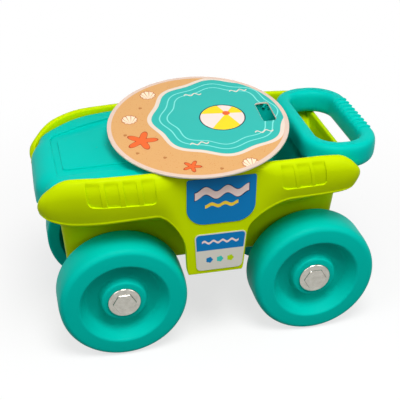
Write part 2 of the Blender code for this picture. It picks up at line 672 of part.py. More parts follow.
TUB_MOUTH = (
    (TUB_FRONT_X, 0.0, DECK_TOP - 0.0020),
    (TUB_FRONT_X, TUB_HALF_WIDTH - 0.0370, DECK_TOP - 0.0020),
    (TUB_FRONT_X + 0.0015, TUB_HALF_WIDTH - 0.0170, DECK_TOP - 0.0020),
    (TUB_FRONT_X + 0.0070, TUB_HALF_WIDTH - 0.0055, DECK_TOP - 0.0020),
    (TUB_FRONT_X + 0.0170, TUB_HALF_WIDTH - 0.0010, DECK_TOP - 0.0020),
    (TUB_FRONT_X + 0.0300, TUB_HALF_WIDTH, SIDE_DECK_TOP + 0.0015),
    (TUB_FRONT_X + 0.0550, TUB_HALF_WIDTH, SIDE_DECK_TOP),
    (TUB_REAR_X - 0.0450, TUB_HALF_WIDTH, SIDE_DECK_TOP),
    (TUB_REAR_X - 0.0130, TUB_HALF_WIDTH - 0.0010, SIDE_DECK_TOP),
    (TUB_REAR_X - 0.0030, TUB_HALF_WIDTH - 0.0090, REAR_BAR_TOP - 0.0032),
    (TUB_REAR_X, TUB_HALF_WIDTH - 0.0280, REAR_BAR_TOP - 0.0025),
    (TUB_REAR_X, 0.0, REAR_BAR_TOP - 0.0025),
)
BED_DROP = (NOSE_DROP, NOSE_DROP - 0.0010, 0.0190, 0.0120) + (BED_EDGE_DROP,) * 6 + (0.0140, 0.0140)
BED_STEPS = (2, 3, 3, 2, 3, 2, 2, 2, 3, 3, 2)


def deck_point(at, inset, share_limit, rise):
    """A point on the deck, a distance in from its edge but never past a share of its width."""
    edge = guide_point(BED_EDGE, at)
    mouth = guide_point(TUB_MOUTH, at)
    width = (mouth - edge).length
    share = min(inset / width, share_limit)
    point = edge.lerp(mouth, share)
    full = max(edge.z, mouth.z + 0.0020)
    point.z = edge.z + rise * (full - edge.z)
    return point


def bed_skirt(at):
    """The lower edge of the bed's turned-down border."""
    edge = guide_point(BED_EDGE, at)
    drop = smooth_path(range(len(BED_DROP)), BED_DROP, at)
    return Vector((edge.x, edge.y * (1.0 - SKIRT_DRAFT), edge.z - drop))


def tub_point(at, height, width_limit):
    """A point inside the tub wall: the front and rear walls lean, the sides clear the hull."""
    mouth = guide_point(TUB_MOUTH, at)
    depth = (DECK_TOP - height) / (DECK_TOP - HULL_FLOOR)
    lean = TUB_SLOPE * depth
    centre = 0.5 * (TUB_FRONT_X + TUB_REAR_X)
    along = (mouth.x - centre) / (TUB_REAR_X - centre)
    x = mouth.x - lean * along * (1.0 if along < 0.0 else 0.35)
    return Vector((x, mouth.y * width_limit / TUB_HALF_WIDTH, height))


def bed_rings(stations):
    nest = WALL + NEST_GAP
    floor = HULL_FLOOR + SEAT_GAP + WALL
    floor_width = HULL_HALF_WIDTH - HULL_DRAFT - nest
    waist_width = HULL_HALF_WIDTH - nest
    flare_width = TUB_HALF_WIDTH - 0.0060
    waist = HULL_SHOULDER + 0.0040
    flare = HULL_SHOULDER + 0.0290
    return [
        [tub_point(at, floor, floor_width - 0.0050) for at in stations],
        [tub_point(at, floor + 0.0050, floor_width) for at in stations],
        [tub_point(at, waist, waist_width) for at in stations],
        [tub_point(at, flare, flare_width) for at in stations],
        [guide_point(TUB_MOUTH, at) - Vector((0.0, 0.0, 0.0030)) for at in stations],
        [deck_point(at, 1.0, 0.90, 1.0) for at in stations],
        [deck_point(at, 0.0225, 0.66, 1.0) for at in stations],
        [deck_point(at, 0.0210, 0.60, 0.86) for at in stations],
        [deck_point(at, 0.0110, 0.45, 0.62) for at in stations],
        [deck_point(at, 0.0035, 0.20, 0.30) for at in stations],
        [guide_point(BED_EDGE, at) - Vector((0.0, 0.0, 0.0015)) for at in stations],
        [bed_skirt(at) for at in stations],
    ]


def grip_path():
    """Centre line of the D-shaped grip and its outward direction, seen from above."""
    half_x = 0.5 * (GRIP_X - GRIP_FRONT_X)
    middle = 0.5 * (GRIP_X + GRIP_FRONT_X)
    corner = min(GRIP_CORNER, 0.96 * half_x)
    ribs = int(2.0 * (GRIP_HALF_SPAN - corner) / FINGER_RIB_PITCH)
    reach = 0.5 * ribs * FINGER_RIB_PITCH
    rib_steps = 4 * ribs
    path = []
    for step in range(rib_steps + 1):
        place = Vector((GRIP_X, reach * (2.0 * step / rib_steps - 1.0), 0.0))
        path.append((place, Vector((1.0, 0.0, 0.0)), FINGER_RIB_HEIGHT * (0, 0.5, 1, 0.5)[step % 4]))
    for quarter, (across, along) in enumerate(((1, 1), (-1, 1), (-1, -1), (1, -1))):
        centre = Vector((middle + across * (half_x - corner), along * (GRIP_HALF_SPAN - corner), 0.0))
        for step in range(GRIP_CORNER_STEPS + 1):
            turn = 0.5 * math.pi * (quarter + step / GRIP_CORNER_STEPS)
            away = Vector((math.cos(turn), math.sin(turn), 0.0))
            path.append((centre + away * corner, away, 0.0))
    return path


def grip_body():
    """Sweep a rounded section round the grip's centre line, with finger ribs on the grip's top."""
    builder = bmesh.new()
    sides = 12
    loops = []
    for point, away, ridge in grip_path():
        ring = []
        for step in range(sides):
            turn = 2.0 * math.pi * (step + 0.5) / sides
            across = math.copysign(abs(math.cos(turn)) ** 0.75, math.cos(turn))
            up = math.copysign(abs(math.sin(turn)) ** 0.75, math.sin(turn))
            height = 0.5 * GRIP_HEIGHT + (ridge if up > 0.0 else 0.0)
            place = point + away * (0.5 * GRIP_WIDTH * across)
            ring.append(builder.verts.new((place.x, place.y, GRIP_MIDDLE_Z + height * up)))
        loops.append(ring)
    for here, there in zip(loops, loops[1:] + loops[:1]):
        for step in range(sides):
            after = (step + 1) % sides
            builder.faces.new((here[step], there[step], there[after], here[after]))
    return builder


def round_rectangle(left, right, low, high, corners, steps=6):
    """Outline of a rectangle whose four corners, from low left anticlockwise, may be rounded."""
    centres = ((left, low, 1, 1), (right, low, -1, 1), (right, high, -1, -1), (left, high, 1, -1))
    outline = []
    for number, (x, y, dx, dy) in enumerate(centres):
        radius = corners[number]
        if radius <= 0.0:
            outline.append((x, y))
            continue
        for step in range(steps + 1):
            turn = math.pi * (1.0 + 0.5 * number) + 0.5 * math.pi * step / steps
            outline.append((x + radius * (dx + math.cos(turn)), y + radius * (dy + math.sin(turn))))
    return outline


def plate(outline, low, high, place):
    """A plate: an outline in two directions, thick in the third, set by a placing function."""
    builder = bmesh.new()
    lower = [builder.verts.new(place(a, b, low)) for a, b in outline]
    upper = [builder.verts.new(place(a, b, high)) for a, b in outline]
    builder.faces.new(lower)
    builder.faces.new(upper)
    for step in range(len(outline)):
        after = (step + 1) % len(outline)
        builder.faces.new((lower[step], lower[after], upper[after], upper[step]))
    return builder


def make_bed(material):
    bed = moulded_sheet("sand_bed", settle_middle(bed_rings(station_list(BED_STEPS))), material)
    combine(bed, make_object("grip_tool", grip_body(), None), "UNION")
    outline = round_rectangle(BED_NOSE_X + PAD_SETBACK, TUB_FRONT_X - 0.0060, -PAD_HALF_WIDTH, PAD_HALF_WIDTH,
                              (0.006, 0.0, 0.0, 0.006))
    pad = plate(outline, DECK_TOP - 0.5 * WALL, DECK_TOP + PAD_HEIGHT, lambda a, b, c: (a, b, c))
    combine(bed, make_object("pad_tool", pad, None), "UNION")
    return bed


def card_height():
    """Height of the card's underside at its centre: its front end just clears the near rail."""
    reach = RAIL_HALF_WIDTH + RAIL_ROUND * math.sin(CARD_TILT) + CARD_Y
    chord = math.sqrt(CARD_RADIUS ** 2 - reach ** 2)
    rise = reach * math.tan(CARD_TILT) / math.cos(CARD_LEAN) - chord * math.tan(CARD_LEAN)
    return RAIL_TOP + SEAT_GAP / math.cos(CARD_TILT) + rise


def make_card(material):
    """The round card leans on the near rail, with a slot cut through it."""
    segments = 64
    turns = [2.0 * math.pi * step / segments for step in range(segments)]
    outline = [(CARD_RADIUS * math.cos(turn), CARD_RADIUS * math.sin(turn)) for turn in turns]
    card = make_object("card_disc", plate(outline, 0.0, CARD_THICKNESS, lambda a, b, c: (a, b, c)), material)
    across = (SLOT_Y - 0.5 * SLOT_LENGTH, SLOT_Y + 0.5 * SLOT_LENGTH)
    slot_x = CARD_RADIUS - SLOT_EDGE
    slot = round_rectangle(slot_x - 0.5 * SLOT_WIDTH, slot_x + 0.5 * SLOT_WIDTH, *across, (0.003,) * 4, 4)
    cutter = plate(slot, -CARD_THICKNESS, 2.0 * CARD_THICKNESS, lambda a, b, c: (a, b, c))
    tool = make_object("slot_tool", cutter, None)
    tool.parent = card
    combine(card, tool, "DIFFERENCE")
    card.location = (CARD_X, CARD_Y, card_height())
    card.rotation_euler = (CARD_TILT, CARD_LEAN, 0.0)
    return card


def on_side(a, b, c):
    """Place a label point on the flat panel of the near side; c runs outwards."""
    return (a, -(RAIL_HALF_WIDTH + RAIL_ROUND) - SEAT_GAP - c, b)


def make_labels(material):
    """Two thin labels on the panel between the wheels; the lower one narrows downwards."""
    high = RAIL_TOP - UPPER_LABEL_DROP
    corners = (UPPER_LABEL_CORNER, UPPER_LABEL_CORNER, 0.0, 0.0)
    outline = round_rectangle(SKIRT_FRONT_X - 0.0015, SKIRT_REAR_X + 0.0100, high - UPPER_LABEL_HEIGHT, high,
                              corners)
    make_object("label_upper", plate(outline, 0.0, LABEL_THICKNESS, on_side), material)
    bottom = SKIRT_BOTTOM + LOWER_LABEL_RISE
    top = bottom + LOWER_LABEL_HEIGHT
    outline = [
        (SKIRT_FRONT_X + 0.0070, bottom),
        (SKIRT_REAR_X - 0.0005, bottom),
        (SKIRT_REAR_X + 0.0030, top),
        (SKIRT_FRONT_X + 0.0045, top),
    ]
    make_object("label_lower", plate(outline, 0.0, LABEL_THICKNESS, on_side), material)


def centre_on_origin():
    """Move every piece and tool so that the origin lies below the middle of the whole toy."""
    for item in bpy.data.objects:
        if item.parent is None:
            item.location.x -= MIDDLE_X
            item.location.y -= MIDDLE_Y


def main():
    clear_scene()
    lime = finish("lime_plastic", LIME, 0.38)
    teal = finish("teal_plastic", TEAL, 0.35)
    make_body(lime)
    make_bed(teal)
    make_running_gear(finish("teal_wheel", TEAL, 0.40), finish("steel", STEEL, 0.30, 1.0),
                      finish("bright_cap", BRIGHT, 0.15, 1.0))
    make_card(finish("printed_card", SAND, 0.55))
    make_labels(finish("label_film", BLUE, 0.45))
    centre_on_origin()


main()
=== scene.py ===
# %% [markdown]
# # A sand toy truck, dressed for its portrait
#
# The CAD model already holds every piece of this toy at its real size. This lesson gives those pieces
# their finish: smooth injection mouldings in lime and teal, big dished wheels, bright axle caps, a printed
# card and two labels. Each step says what the piece is on the real toy and why it is made this way.

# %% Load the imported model
import math

import bmesh
import bpy
from mathutils import Matrix, Vector


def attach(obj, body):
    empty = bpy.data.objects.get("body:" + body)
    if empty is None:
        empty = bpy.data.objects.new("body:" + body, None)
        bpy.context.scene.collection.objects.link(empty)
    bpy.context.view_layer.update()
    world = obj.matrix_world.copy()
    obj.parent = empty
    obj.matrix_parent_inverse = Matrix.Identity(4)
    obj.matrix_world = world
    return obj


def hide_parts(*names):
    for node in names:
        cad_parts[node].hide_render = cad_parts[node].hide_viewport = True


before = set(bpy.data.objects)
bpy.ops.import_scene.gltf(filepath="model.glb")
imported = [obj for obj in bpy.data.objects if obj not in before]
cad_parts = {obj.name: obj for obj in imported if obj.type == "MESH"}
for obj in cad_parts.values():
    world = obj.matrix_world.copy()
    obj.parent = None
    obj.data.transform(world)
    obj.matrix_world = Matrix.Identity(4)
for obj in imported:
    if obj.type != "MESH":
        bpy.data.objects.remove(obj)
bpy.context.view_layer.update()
MIDDLE = Vector((0.0014, -0.0059, 0.0))

# %% [markdown]
# ## Camera
#
# The photograph looks down on the near side from the front. The place, the turn and the lens below were
# found by fitting the wheels and the card to the picture, so the render can be laid over it.

# %% Camera
LENS_PIXELS = 888.28
IMAGE_PIXELS = 400
EYE = Vector((-0.17009, -0.72338, 0.56159)) - MIDDLE
YAW = math.radians(13.48)
PITCH = math.radians(31.0)
ROLL = 0.0147


def add_camera():
    """A camera at the fitted place, with its axes built from yaw, pitch and roll."""
    forward = Vector((math.sin(YAW) * math.cos(PITCH), math.cos(YAW) * math.cos(PITCH), -math.sin(PITCH)))
    right = Vector((math.cos(YAW), -math.sin(YAW), 0.0))
    up = right.cross(forward)
    right, up = (math.cos(ROLL) * right + math.sin(ROLL) * up, math.cos(ROLL) * up - math.sin(ROLL) * right)
    turn = Matrix((right, up, -forward)).transposed().to_4x4()
    data = bpy.data.cameras.new("portrait")
    data.sensor_width = 36.0
    data.lens = LENS_PIXELS / IMAGE_PIXELS * data.sensor_width
    camera = bpy.data.objects.new("portrait", data)
    camera.matrix_world = Matrix.Translation(EYE) @ turn
    bpy.context.collection.objects.link(camera)
    bpy.context.scene.camera = camera
    return camera


camera = add_camera()
print("lens", round(camera.data.lens, 2), "mm")

# %% [markdown]
# ## Studio
#
# A pale floor, a white surround and broad soft lamps, as for a catalogue picture. The surround is white to
# the eye and in reflections, and lights the toy with only a fifth of that strength.


# %% Node helpers
class Formula:
    """A value in a node tree; each operation on it adds one Math node."""

    def __init__(self, tree, socket):
        self.tree = tree
        self.socket = socket

    def math(self, operation, *others):
        return calc(self.tree, operation, self, *others)

    def __add__(self, other):
        return self.math("ADD", other)

    def __sub__(self, other):
        return self.math("SUBTRACT", other)

    def __rsub__(self, other):
        return calc(self.tree, "SUBTRACT", other, self)

    def __mul__(self, other):
        return self.math("MULTIPLY", other)

    def __abs__(self):
        return self.math("ABSOLUTE")


def link_or_set(tree, socket, value):
    """Feed a socket from a formula, a node's first output or a socket, or give it a fixed value."""
    if isinstance(value, Formula):
        value = value.socket
    if isinstance(value, bpy.types.Node):
        value = value.outputs[0]
    if isinstance(value, bpy.types.NodeSocket):
        tree.links.new(value, socket)
    else:
        socket.default_value = value


def add_node(tree, kind, inputs=None, **settings):
    """One node with its settings, and with its inputs linked or set."""
    node = tree.nodes.new(kind)
    for name, value in settings.items():
        setattr(node, name, value)
    for name, value in (inputs or {}).items():
        link_or_set(tree, node.inputs[name], value)
    return node


def calc(tree, operation, *values, clamp=False):
    """One Math node; returns its value."""
    node = add_node(tree, "ShaderNodeMath", dict(enumerate(values)), operation=operation, use_clamp=clamp)
    return Formula(tree, node.outputs[0])


def object_place(tree):
    return tree.nodes.new("ShaderNodeTexCoord").outputs["Object"]


def axes_of(tree, place):
    """The three axes of a place as formulas."""
    return [Formula(tree, socket) for socket in add_node(tree, "ShaderNodeSeparateXYZ", {0: place}).outputs]


def blend_colours(tree, share, first, second):
    """Mix two colours by a share; returns the colour."""
    node = add_node(tree, "ShaderNodeMix", {"Factor": share}, data_type="RGBA", clamp_factor=True)
    for name, value in (("A", first), ("B", second)):
        socket = next(s for s in node.inputs if s.name == name and s.type == "RGBA")
        link_or_set(tree, socket, value)
    return next(s for s in node.outputs if s.type == "RGBA")


def paint(red, green, blue):
    """A colour written as on a screen, 0 to 255, turned into Blender's linear values."""
    def linear(value):
        share = value / 255.0
        return share / 12.92 if share <= 0.04045 else ((share + 0.055) / 1.055) ** 2.4
    return (linear(red), linear(green), linear(blue), 1.0)


# %% Floor, surround and lamps
LAMP_AIM = Vector((0.0, 0.0, 0.10))


def seen_share(tree):
    """1 for rays from the eye, from gloss or through glass, 0 for the light that falls on the toy."""
    path = tree.nodes.new("ShaderNodeLightPath")
    seen = calc(tree, "MAXIMUM", path.outputs["Is Camera Ray"], path.outputs["Is Glossy Ray"])
    return calc(tree, "MAXIMUM", seen, path.outputs["Is Transmission Ray"])


def add_floor():
    """A matt floor that fades into the white surround and keeps the shadow of the toy."""
    bpy.ops.mesh.primitive_plane_add(size=8.0)
    floor = bpy.context.object
    floor.name = "floor"
    material = bpy.data.materials.new("pale_floor")
    material.use_nodes = True
    tree = material.node_tree
    tree.nodes.clear()
    colour = blend_colours(tree, seen_share(tree), (0.18, 0.18, 0.18, 1.0), (0.97, 0.97, 0.975, 1.0))
    matt = add_node(tree, "ShaderNodeBsdfDiffuse", {"Color": colour})
    glow = add_node(tree, "ShaderNodeEmission", {"Strength": 1.0})
    place = add_node(tree, "ShaderNodeVectorMath", {0: object_place(tree)}, operation="LENGTH")
    fade = add_node(tree, "ShaderNodeMapRange", {
        "Value": place.outputs["Value"], "From Min": 0.10, "From Max": 0.55, "To Min": 0.70, "To Max": 1.0,
    }, interpolation_type="SMOOTHSTEP")
    mix = add_node(tree, "ShaderNodeMixShader", {0: seen_share(tree) * fade.outputs[0], 1: matt, 2: glow})
    add_node(tree, "ShaderNodeOutputMaterial", {0: mix})
    floor.data.materials.append(material)


def add_surround():
    world = bpy.data.worlds.new("white_surround")
    world.use_nodes = True
    tree = world.node_tree
    background = tree.nodes["Background"]
    background.inputs["Color"].default_value = (1.0, 1.0, 1.0, 1.0)
    link_or_set(tree, background.inputs["Strength"], seen_share(tree).math("MULTIPLY_ADD", 0.80, 0.20))
    bpy.context.scene.world = world


def add_lamp(name, place, size, power):
    data = bpy.data.lights.new(name, "AREA")
    data.shape = "DISK"
    data.size = size
    data.energy = power
    lamp = bpy.data.objects.new(name, data)
    lamp.location = place
    lamp.rotation_euler = (LAMP_AIM - Vector(place)).to_track_quat("-Z", "Y").to_euler()
    bpy.context.collection.objects.link(lamp)


add_floor()
add_surround()
add_lamp("top_softbox", (0.0, -0.62, 1.45), 0.7, 15.5)
add_lamp("front_fill", (-1.0, -0.6, 1.10), 0.9, 6.0)
add_lamp("rear_fill", (1.0, -0.9, 0.95), 0.9, 5.5)
bpy.context.scene.view_settings.view_transform = "Standard"

# %% [markdown]
# ## Moulded plastic
#
# Both plastics are polypropylene from a satin mould. Close up it has a faint grain, a slow waviness where
# the wall cooled, and a colour that drifts a little along the flow. One shader group gives these three
# effects, and each plastic places it with its own values, so the two colours look like one family.


# %% Shader group: satin mould grain
def shader_group(name, inputs, outputs):
    """An empty shader group; returns it with the sockets at its two ends."""
    group = bpy.data.node_groups.new(name, "ShaderNodeTree")
    for way, labels in (("INPUT", inputs), ("OUTPUT", outputs)):
        for label in labels:
            kind = "NodeSocketColor" if label == "Colour" else "NodeSocketFloat"
            group.interface.new_socket(label, in_out=way, socket_type=kind)
    for socket in group.interface.items_tree:
        if socket.in_out == "INPUT" and inputs[socket.name] is not None:
            socket.default_value = inputs[socket.name]
    return group, group.nodes.new("NodeGroupInput").outputs, group.nodes.new("NodeGroupOutput").inputs


def noise(tree, place, scale, **others):
    """A noise texture; returns its value."""
    inputs = {"Vector": place, "Scale": scale, **others}
    return Formula(tree, add_node(tree, "ShaderNodeTexNoise", inputs).outputs["Fac"])


def build_grain_group():
    group, entry, leave = shader_group(
        "satin_mould",
        {"Colour": None, "Drift": 0.05, "Roughness": 0.36, "Grain Size": 0.0007, "Grain Depth": 0.05},
        ("Colour", "Roughness", "Height"))
    place = object_place(group)
    slow = noise(group, place, 14.0, Detail=2.0) - 0.5
    tint = (slow * entry["Drift"]).math("MULTIPLY_ADD", 2.0, 1.0)
    shade = add_node(group, "ShaderNodeVectorMath", {0: entry["Colour"], "Scale": tint}, operation="SCALE")
    link_or_set(group, leave["Colour"], shade)
    scuff = noise(group, place, 60.0, Detail=4.0) - 0.5
    link_or_set(group, leave["Roughness"], scuff.math("MULTIPLY_ADD", 0.16, entry["Roughness"]))
    fine = noise(group, place, calc(group, "DIVIDE", 1.0, entry["Grain Size"]), Detail=2.0)
    peel = noise(group, place, 150.0, Detail=1.0)
    link_or_set(group, leave["Height"], fine * entry["Grain Depth"] + peel * 0.12)
    return group


def group_material(name, group, values, strength, distance):
    """A material whose roughness and bump come from a shader group; returns it with its main nodes."""
    material = bpy.data.materials.new(name)
    material.use_nodes = True
    tree = material.node_tree
    shader = tree.nodes["Principled BSDF"]
    node = add_node(tree, "ShaderNodeGroup", values, node_tree=group)
    bump = add_node(tree, "ShaderNodeBump", {
        "Strength": strength, "Distance": distance, "Height": node.outputs["Height"],
    })
    tree.links.new(node.outputs["Roughness"], shader.inputs["Roughness"])
    tree.links.new(bump.outputs["Normal"], shader.inputs["Normal"])
    return material, node, shader


GRAIN = build_grain_group()
PLASTIC_IOR = 1.49
PLASTIC_GLOSS = 0.03


def moulded(name, colour, roughness, drift=0.05, grain=0.0007):
    """A plastic that uses the satin mould group; the gloss stays plain numbers on the shader."""
    values = {"Colour": colour, "Drift": drift, "Roughness": roughness, "Grain Size": grain}
    material, node, shader = group_material(name, GRAIN, values, 0.25, 0.0003)
    material.node_tree.links.new(node.outputs["Colour"], shader.inputs["Base Color"])
    shader.inputs["IOR"].default_value = PLASTIC_IOR
    shader.inputs["Specular IOR Level"].default_value = PLASTIC_GLOSS
    return material


LIME = moulded("lime_moulding", paint(200, 226, 0), 0.40)
TEAL = moulded("teal_moulding", paint(0, 196, 181), 0.38)
WHEEL_TEAL = moulded("teal_wheel_moulding", paint(0, 192, 176), 0.42, drift=0.04)
print("plastics", LIME.name, TEAL.name, WHEEL_TEAL.name)

# %% [markdown]
# ## Guide curves
#
# The two big mouldings are lofts. A few stations run from the middle of the front round one side to the
# middle of the rear, and a smooth curve joins them. At every step along the curve a section is drawn from
# the floor up the wall, over the rail and down the outside, and each corner of the section gets its own
# radius. The stations began as those of the CAD model and were then fitted to the photograph once more.


# %% Curves through stations and sections with round corners
SHARED_SIDE = 0.48
WHOLE_SIDE = 0.95
SMOOTH_ANGLE = 40.0


def smooth_path(values, at):
    """Monotone cubic through equally spaced values, which never swings past them."""
    last = len(values) - 1
    rises = [values[i + 1] - values[i] for i in range(last)]
    slopes = [0.0] * (last + 1)
    for i in range(1, last):
        if rises[i - 1] * rises[i] > 0.0:
            slopes[i] = 2.0 / (1.0 / rises[i - 1] + 1.0 / rises[i])
    span = min(max(int(at), 0), last - 1)
    s = at - span
    low = (1 + 2 * s) * (1 - s) ** 2 * values[span] + s * (1 - s) ** 2 * slopes[span]
    high = s * s * (3 - 2 * s) * values[span + 1] + s * s * (s - 1) * slopes[span + 1]
    return low + high


def guide_point(guide, at):
    """The point of a guide curve, with as many axes as its stations have."""
    return Vector([smooth_path(axis, at) for axis in zip(*guide)])


def round_section(corners, steps=5):
    """Replace each corner (point, radius) by a short curve; plain points have no radius."""
    section = []
    for number, (point, radius) in enumerate(corners):
        if radius <= 0.0 or number in (0, len(corners) - 1):
            section.append(point)
            continue
        before = corners[number - 1][0] - point
        after = corners[number + 1][0] - point
        sharing = [SHARED_SIDE if corners[number + side][1] > 0.0 else WHOLE_SIDE for side in (-1, 1)]
        reach = min(radius, sharing[0] * before.length, sharing[1] * after.length)
        start = point + before.normalized() * reach
        end = point + after.normalized() * reach
        for step in range(steps):
            s = step / (steps - 1)
            section.append(start * (1 - s) ** 2 + point * 2 * s * (1 - s) + end * s * s)
    return section


def full_turn(count):
    """Even steps of one turn."""
    return [2.0 * math.pi * step / count for step in range(count)]


def add_piece(name, builder, material):
    """Turn what a builder holds into an object with one material, shaded smooth."""
    mesh = bpy.data.meshes.new(name)
    builder.to_mesh(mesh)
    builder.free()
    mesh.shade_smooth()
    mesh.materials.append(material)
    piece = bpy.data.objects.new(name, mesh)
    bpy.context.collection.objects.link(piece)
    return piece


def mesh_piece(name, builder, material, smooth_angle=SMOOTH_ANGLE):
    """A finished piece: welded, facing outwards, shaded smooth, at the origin."""
    bmesh.ops.remove_doubles(builder, verts=builder.verts, dist=1e-6)
    bmesh.ops.recalc_face_normals(builder, faces=builder.faces)
    piece = add_piece(name, builder, material)
    piece.data.transform(Matrix.Translation(-MIDDLE))
    piece.data.set_sharp_from_angle(angle=math.radians(smooth_angle))
    return piece


def add_shell(builder, rings, close=True):
    """Skin a stack of equal rings and close both ends."""
    loops = [[builder.verts.new(place) for place in ring] for ring in rings]
    count = len(loops[0])
    for low, high in zip(loops, loops[1:]):
        for step in range(count):
            after = (step + 1) % count
            builder.faces.new((low[step], low[after], high[after], high[step]))
    if close:
        builder.faces.new(list(reversed(loops[0])))
        builder.faces.new(loops[-1])


def loft(name, sections, wall, material):
    """Skin the near and far halves of a moulding over its sections and give the sheet its wall."""
    builder = bmesh.new()
    near = [[builder.verts.new((p.x, -p.y, p.z)) for p in section] for section in sections]
    far = [[builder.verts.new(p) for p in section] for section in reversed(sections[1:-1])]
    columns = near + far
    for here, there in zip(columns, columns[1:] + columns[:1]):
        for low in range(len(here) - 1):
            builder.faces.new((here[low], there[low], there[low + 1], here[low + 1]))
    builder.faces.new([column[0] for column in reversed(columns)])
    piece = add_piece(name, builder, material)
    if piece.data.polygons[-1].normal.z < 0.0:
        piece.data.flip_normals()
    skin = piece.modifiers.new("wall", "SOLIDIFY")
    skin.thickness = wall
    skin.offset = -1.0
    skin.use_even_offset = False
    return piece


def settle(piece):
    """Turn a piece with modifiers into a plain mesh."""
    graph = bpy.context.evaluated_depsgraph_get()
    mesh = bpy.data.meshes.new_from_object(piece.evaluated_get(graph))
    piece.modifiers.clear()
    piece.data = mesh
    mesh.transform(Matrix.Translation(-MIDDLE))
    mesh.set_sharp_from_angle(angle=math.radians(SMOOTH_ANGLE))
    return piece


print("guide helpers ready")

# %% [markdown]
# ## Lime body
#
# The body is one moulding: a narrow hull inside, a rolled rail, and an outside that swells into pods over
# the wheels, drops as a skirt between them and stops at a thin bead. The recessed grip windows follow the
# skin of the pods, so they are pressed into the loft itself instead of being cut: each window lies deeper
# at its front side than at its rear side, as the photograph shows.

# %% Body: sizes and stations
WALL = 0.0026
RAIL_ROUND = 0.0042
RAIL_INNER = 0.0054
RAIL_DEPTH = 0.0090
POD_BULGE = 0.0028
POD_TUCK = 0.0025
POD_LEAST_HEIGHT = 0.0060
EDGE_RETURN = 0.0070
BEAD = 0.0005
HULL_FLOOR = 0.0780
HULL_SHOULDER = 0.1280
HULL_HALF_WIDTH = 0.0395
HULL_FRONT_X = -0.1320
HULL_REAR_X = 0.1195
HULL_DRAFT = 0.0040
HULL_CORNER = 0.0060
FLOOR_INSET = 0.0110
FLARE_RATE = 16.0
FLARE_MOST = 0.80
FLARE_RISE = 0.32
SHOULDER_GAP = 0.0120
RAIL_FOOT_ROUND = 0.0025
RAIL_LIP_ROUND = 0.0026
BULGE_END = 0.92
SKIN_END = 0.91
BODY_STEPS = 144
CREST = (
    (-0.1460, 0.0, 0.1440), (-0.1465, 0.0250, 0.1450), (-0.1485, 0.0400, 0.1500),
    (-0.1508, 0.0486, 0.1640), (-0.1435, 0.0556, 0.1755), (-0.1290, 0.0628, 0.1856),
    (-0.1000, 0.0728, 0.1898), (-0.0575, 0.0757, 0.1909), (-0.0320, 0.0760, 0.1915),
    (-0.0210, 0.0760, 0.1915), (0.0255, 0.0760, 0.1915), (0.0365, 0.0760, 0.1915),
    (0.0625, 0.0757, 0.1911), (0.0955, 0.0741, 0.1906), (0.1130, 0.0737, 0.1896), (0.1232, 0.0729, 0.1858),
    (0.1298, 0.0702, 0.1790), (0.1345, 0.0600, 0.1710), (0.1350, 0.0, 0.1705),
)
LOWER_EDGE = (
    (-0.1468, 0.1395), (-0.1474, 0.1405), (-0.1497, 0.1440), (-0.1530, 0.1492), (-0.1470, 0.1458),
    (-0.1265, 0.1418), (-0.0950, 0.1460), (-0.0535, 0.1488), (-0.0285, 0.1180), (-0.0250, 0.0850),
    (0.0245, 0.0850), (0.0290, 0.1290), (0.0690, 0.1528), (0.1020, 0.1532), (0.1165, 0.1542),
    (0.1266, 0.1563), (0.1334, 0.1618), (0.1366, 0.1630), (0.1369, 0.1615),
)
HULL = (
    (-0.1320, 0.0), (-0.1320, 0.0315), (-0.1290, 0.0370), (-0.1240, 0.0389), (-0.1170, 0.0395),
    (-0.1090, 0.0395), (-0.0967, 0.0395), (-0.0575, 0.0395), (-0.0320, 0.0395), (-0.0210, 0.0395),
    (0.0255, 0.0395), (0.0365, 0.0395), (0.0625, 0.0395), (0.1000, 0.0395), (0.1130, 0.0394),
    (0.1210, 0.0378), (0.1250, 0.0330), (0.1262, 0.0240), (0.1262, 0.0),
)
FACING = (180, 178, 160, 135, 118, 111, 101, 92, 90, 90, 90, 90, 90, 87, 80, 66, 45, 10, 0)
FLANGE = (0.35, 0.35, 0.35, 0.6) + (1.0,) * 10 + (0.8, 0.5, 0.4, 0.35, 0.35)
SWELL = (0.0, 0.0, 0.3, 0.8) + (1.0,) * 4 + (0.0,) * 4 + (1.0,) * 4 + (0.8, 0.3, 0.0)
LAST_STATION = 18.0
RIM_SHARE = (0.40, 0.40, 0.45, 0.55, 0.80) + (1.0,) * 10 + (0.90, 0.70, 0.45, 0.40)
BEAD_SHARE = (0.0, 0.0, 0.0, 0.4, 1.0, 1.0, 1.0, 0.8, 0.0, 0.0, 0.0, 0.0, 1.0, 1.0, 1.0, 0.5, 0.0, 0.0, 0.0)
SHOULDER_RISE = (0.0,) * 13 + (0.004, 0.012, 0.016, 0.018, 0.012, 0.010)
POD_ROUND = 0.0023
POD_ROUND_SHARE = 0.34
WINDOW_ROWS = ((4, -0.1139, 0.0586, 0.0117, 0.1645), (3, 0.0566, 0.0412, 0.0118, 0.1652))
WINDOW_CORNER = 0.0050
WINDOW_STEP = 0.0003
PANEL_DEPTH = 0.0005
LEFT_DEPTH = 0.0014
RIGHT_DEPTH = 0.0006
WINDOW_MARGIN = 0.0008
WINDOW_ZONE = 0.0020
PANEL_TOP = 0.0012
PANEL_FADE = 0.0045
PANEL_LEAST = 0.03
PLAIN_BOTTOM = 0.45
MEASURE_SHARE = 0.10
ROUND_START = 10.0
ROUND_COUNT = 12
PANEL_COUNT = 14
LOWER_COUNT = 8
CORNER_COUNT = 8
SEARCH_SPAN = (2.0, 16.0)
SEARCH_STEPS = 30
BEAD_TOP = 0.0032
BEAD_TOP_SHARE = 0.065
BEAD_FULL = 0.0020
BEAD_FULL_SHARE = 0.045
BEAD_ROUND = 0.0004

# %% Body: points of the section
def outward(at):
    turn = math.radians(smooth_path(FACING, at))
    return Vector((math.cos(turn), math.sin(turn), 0.0))


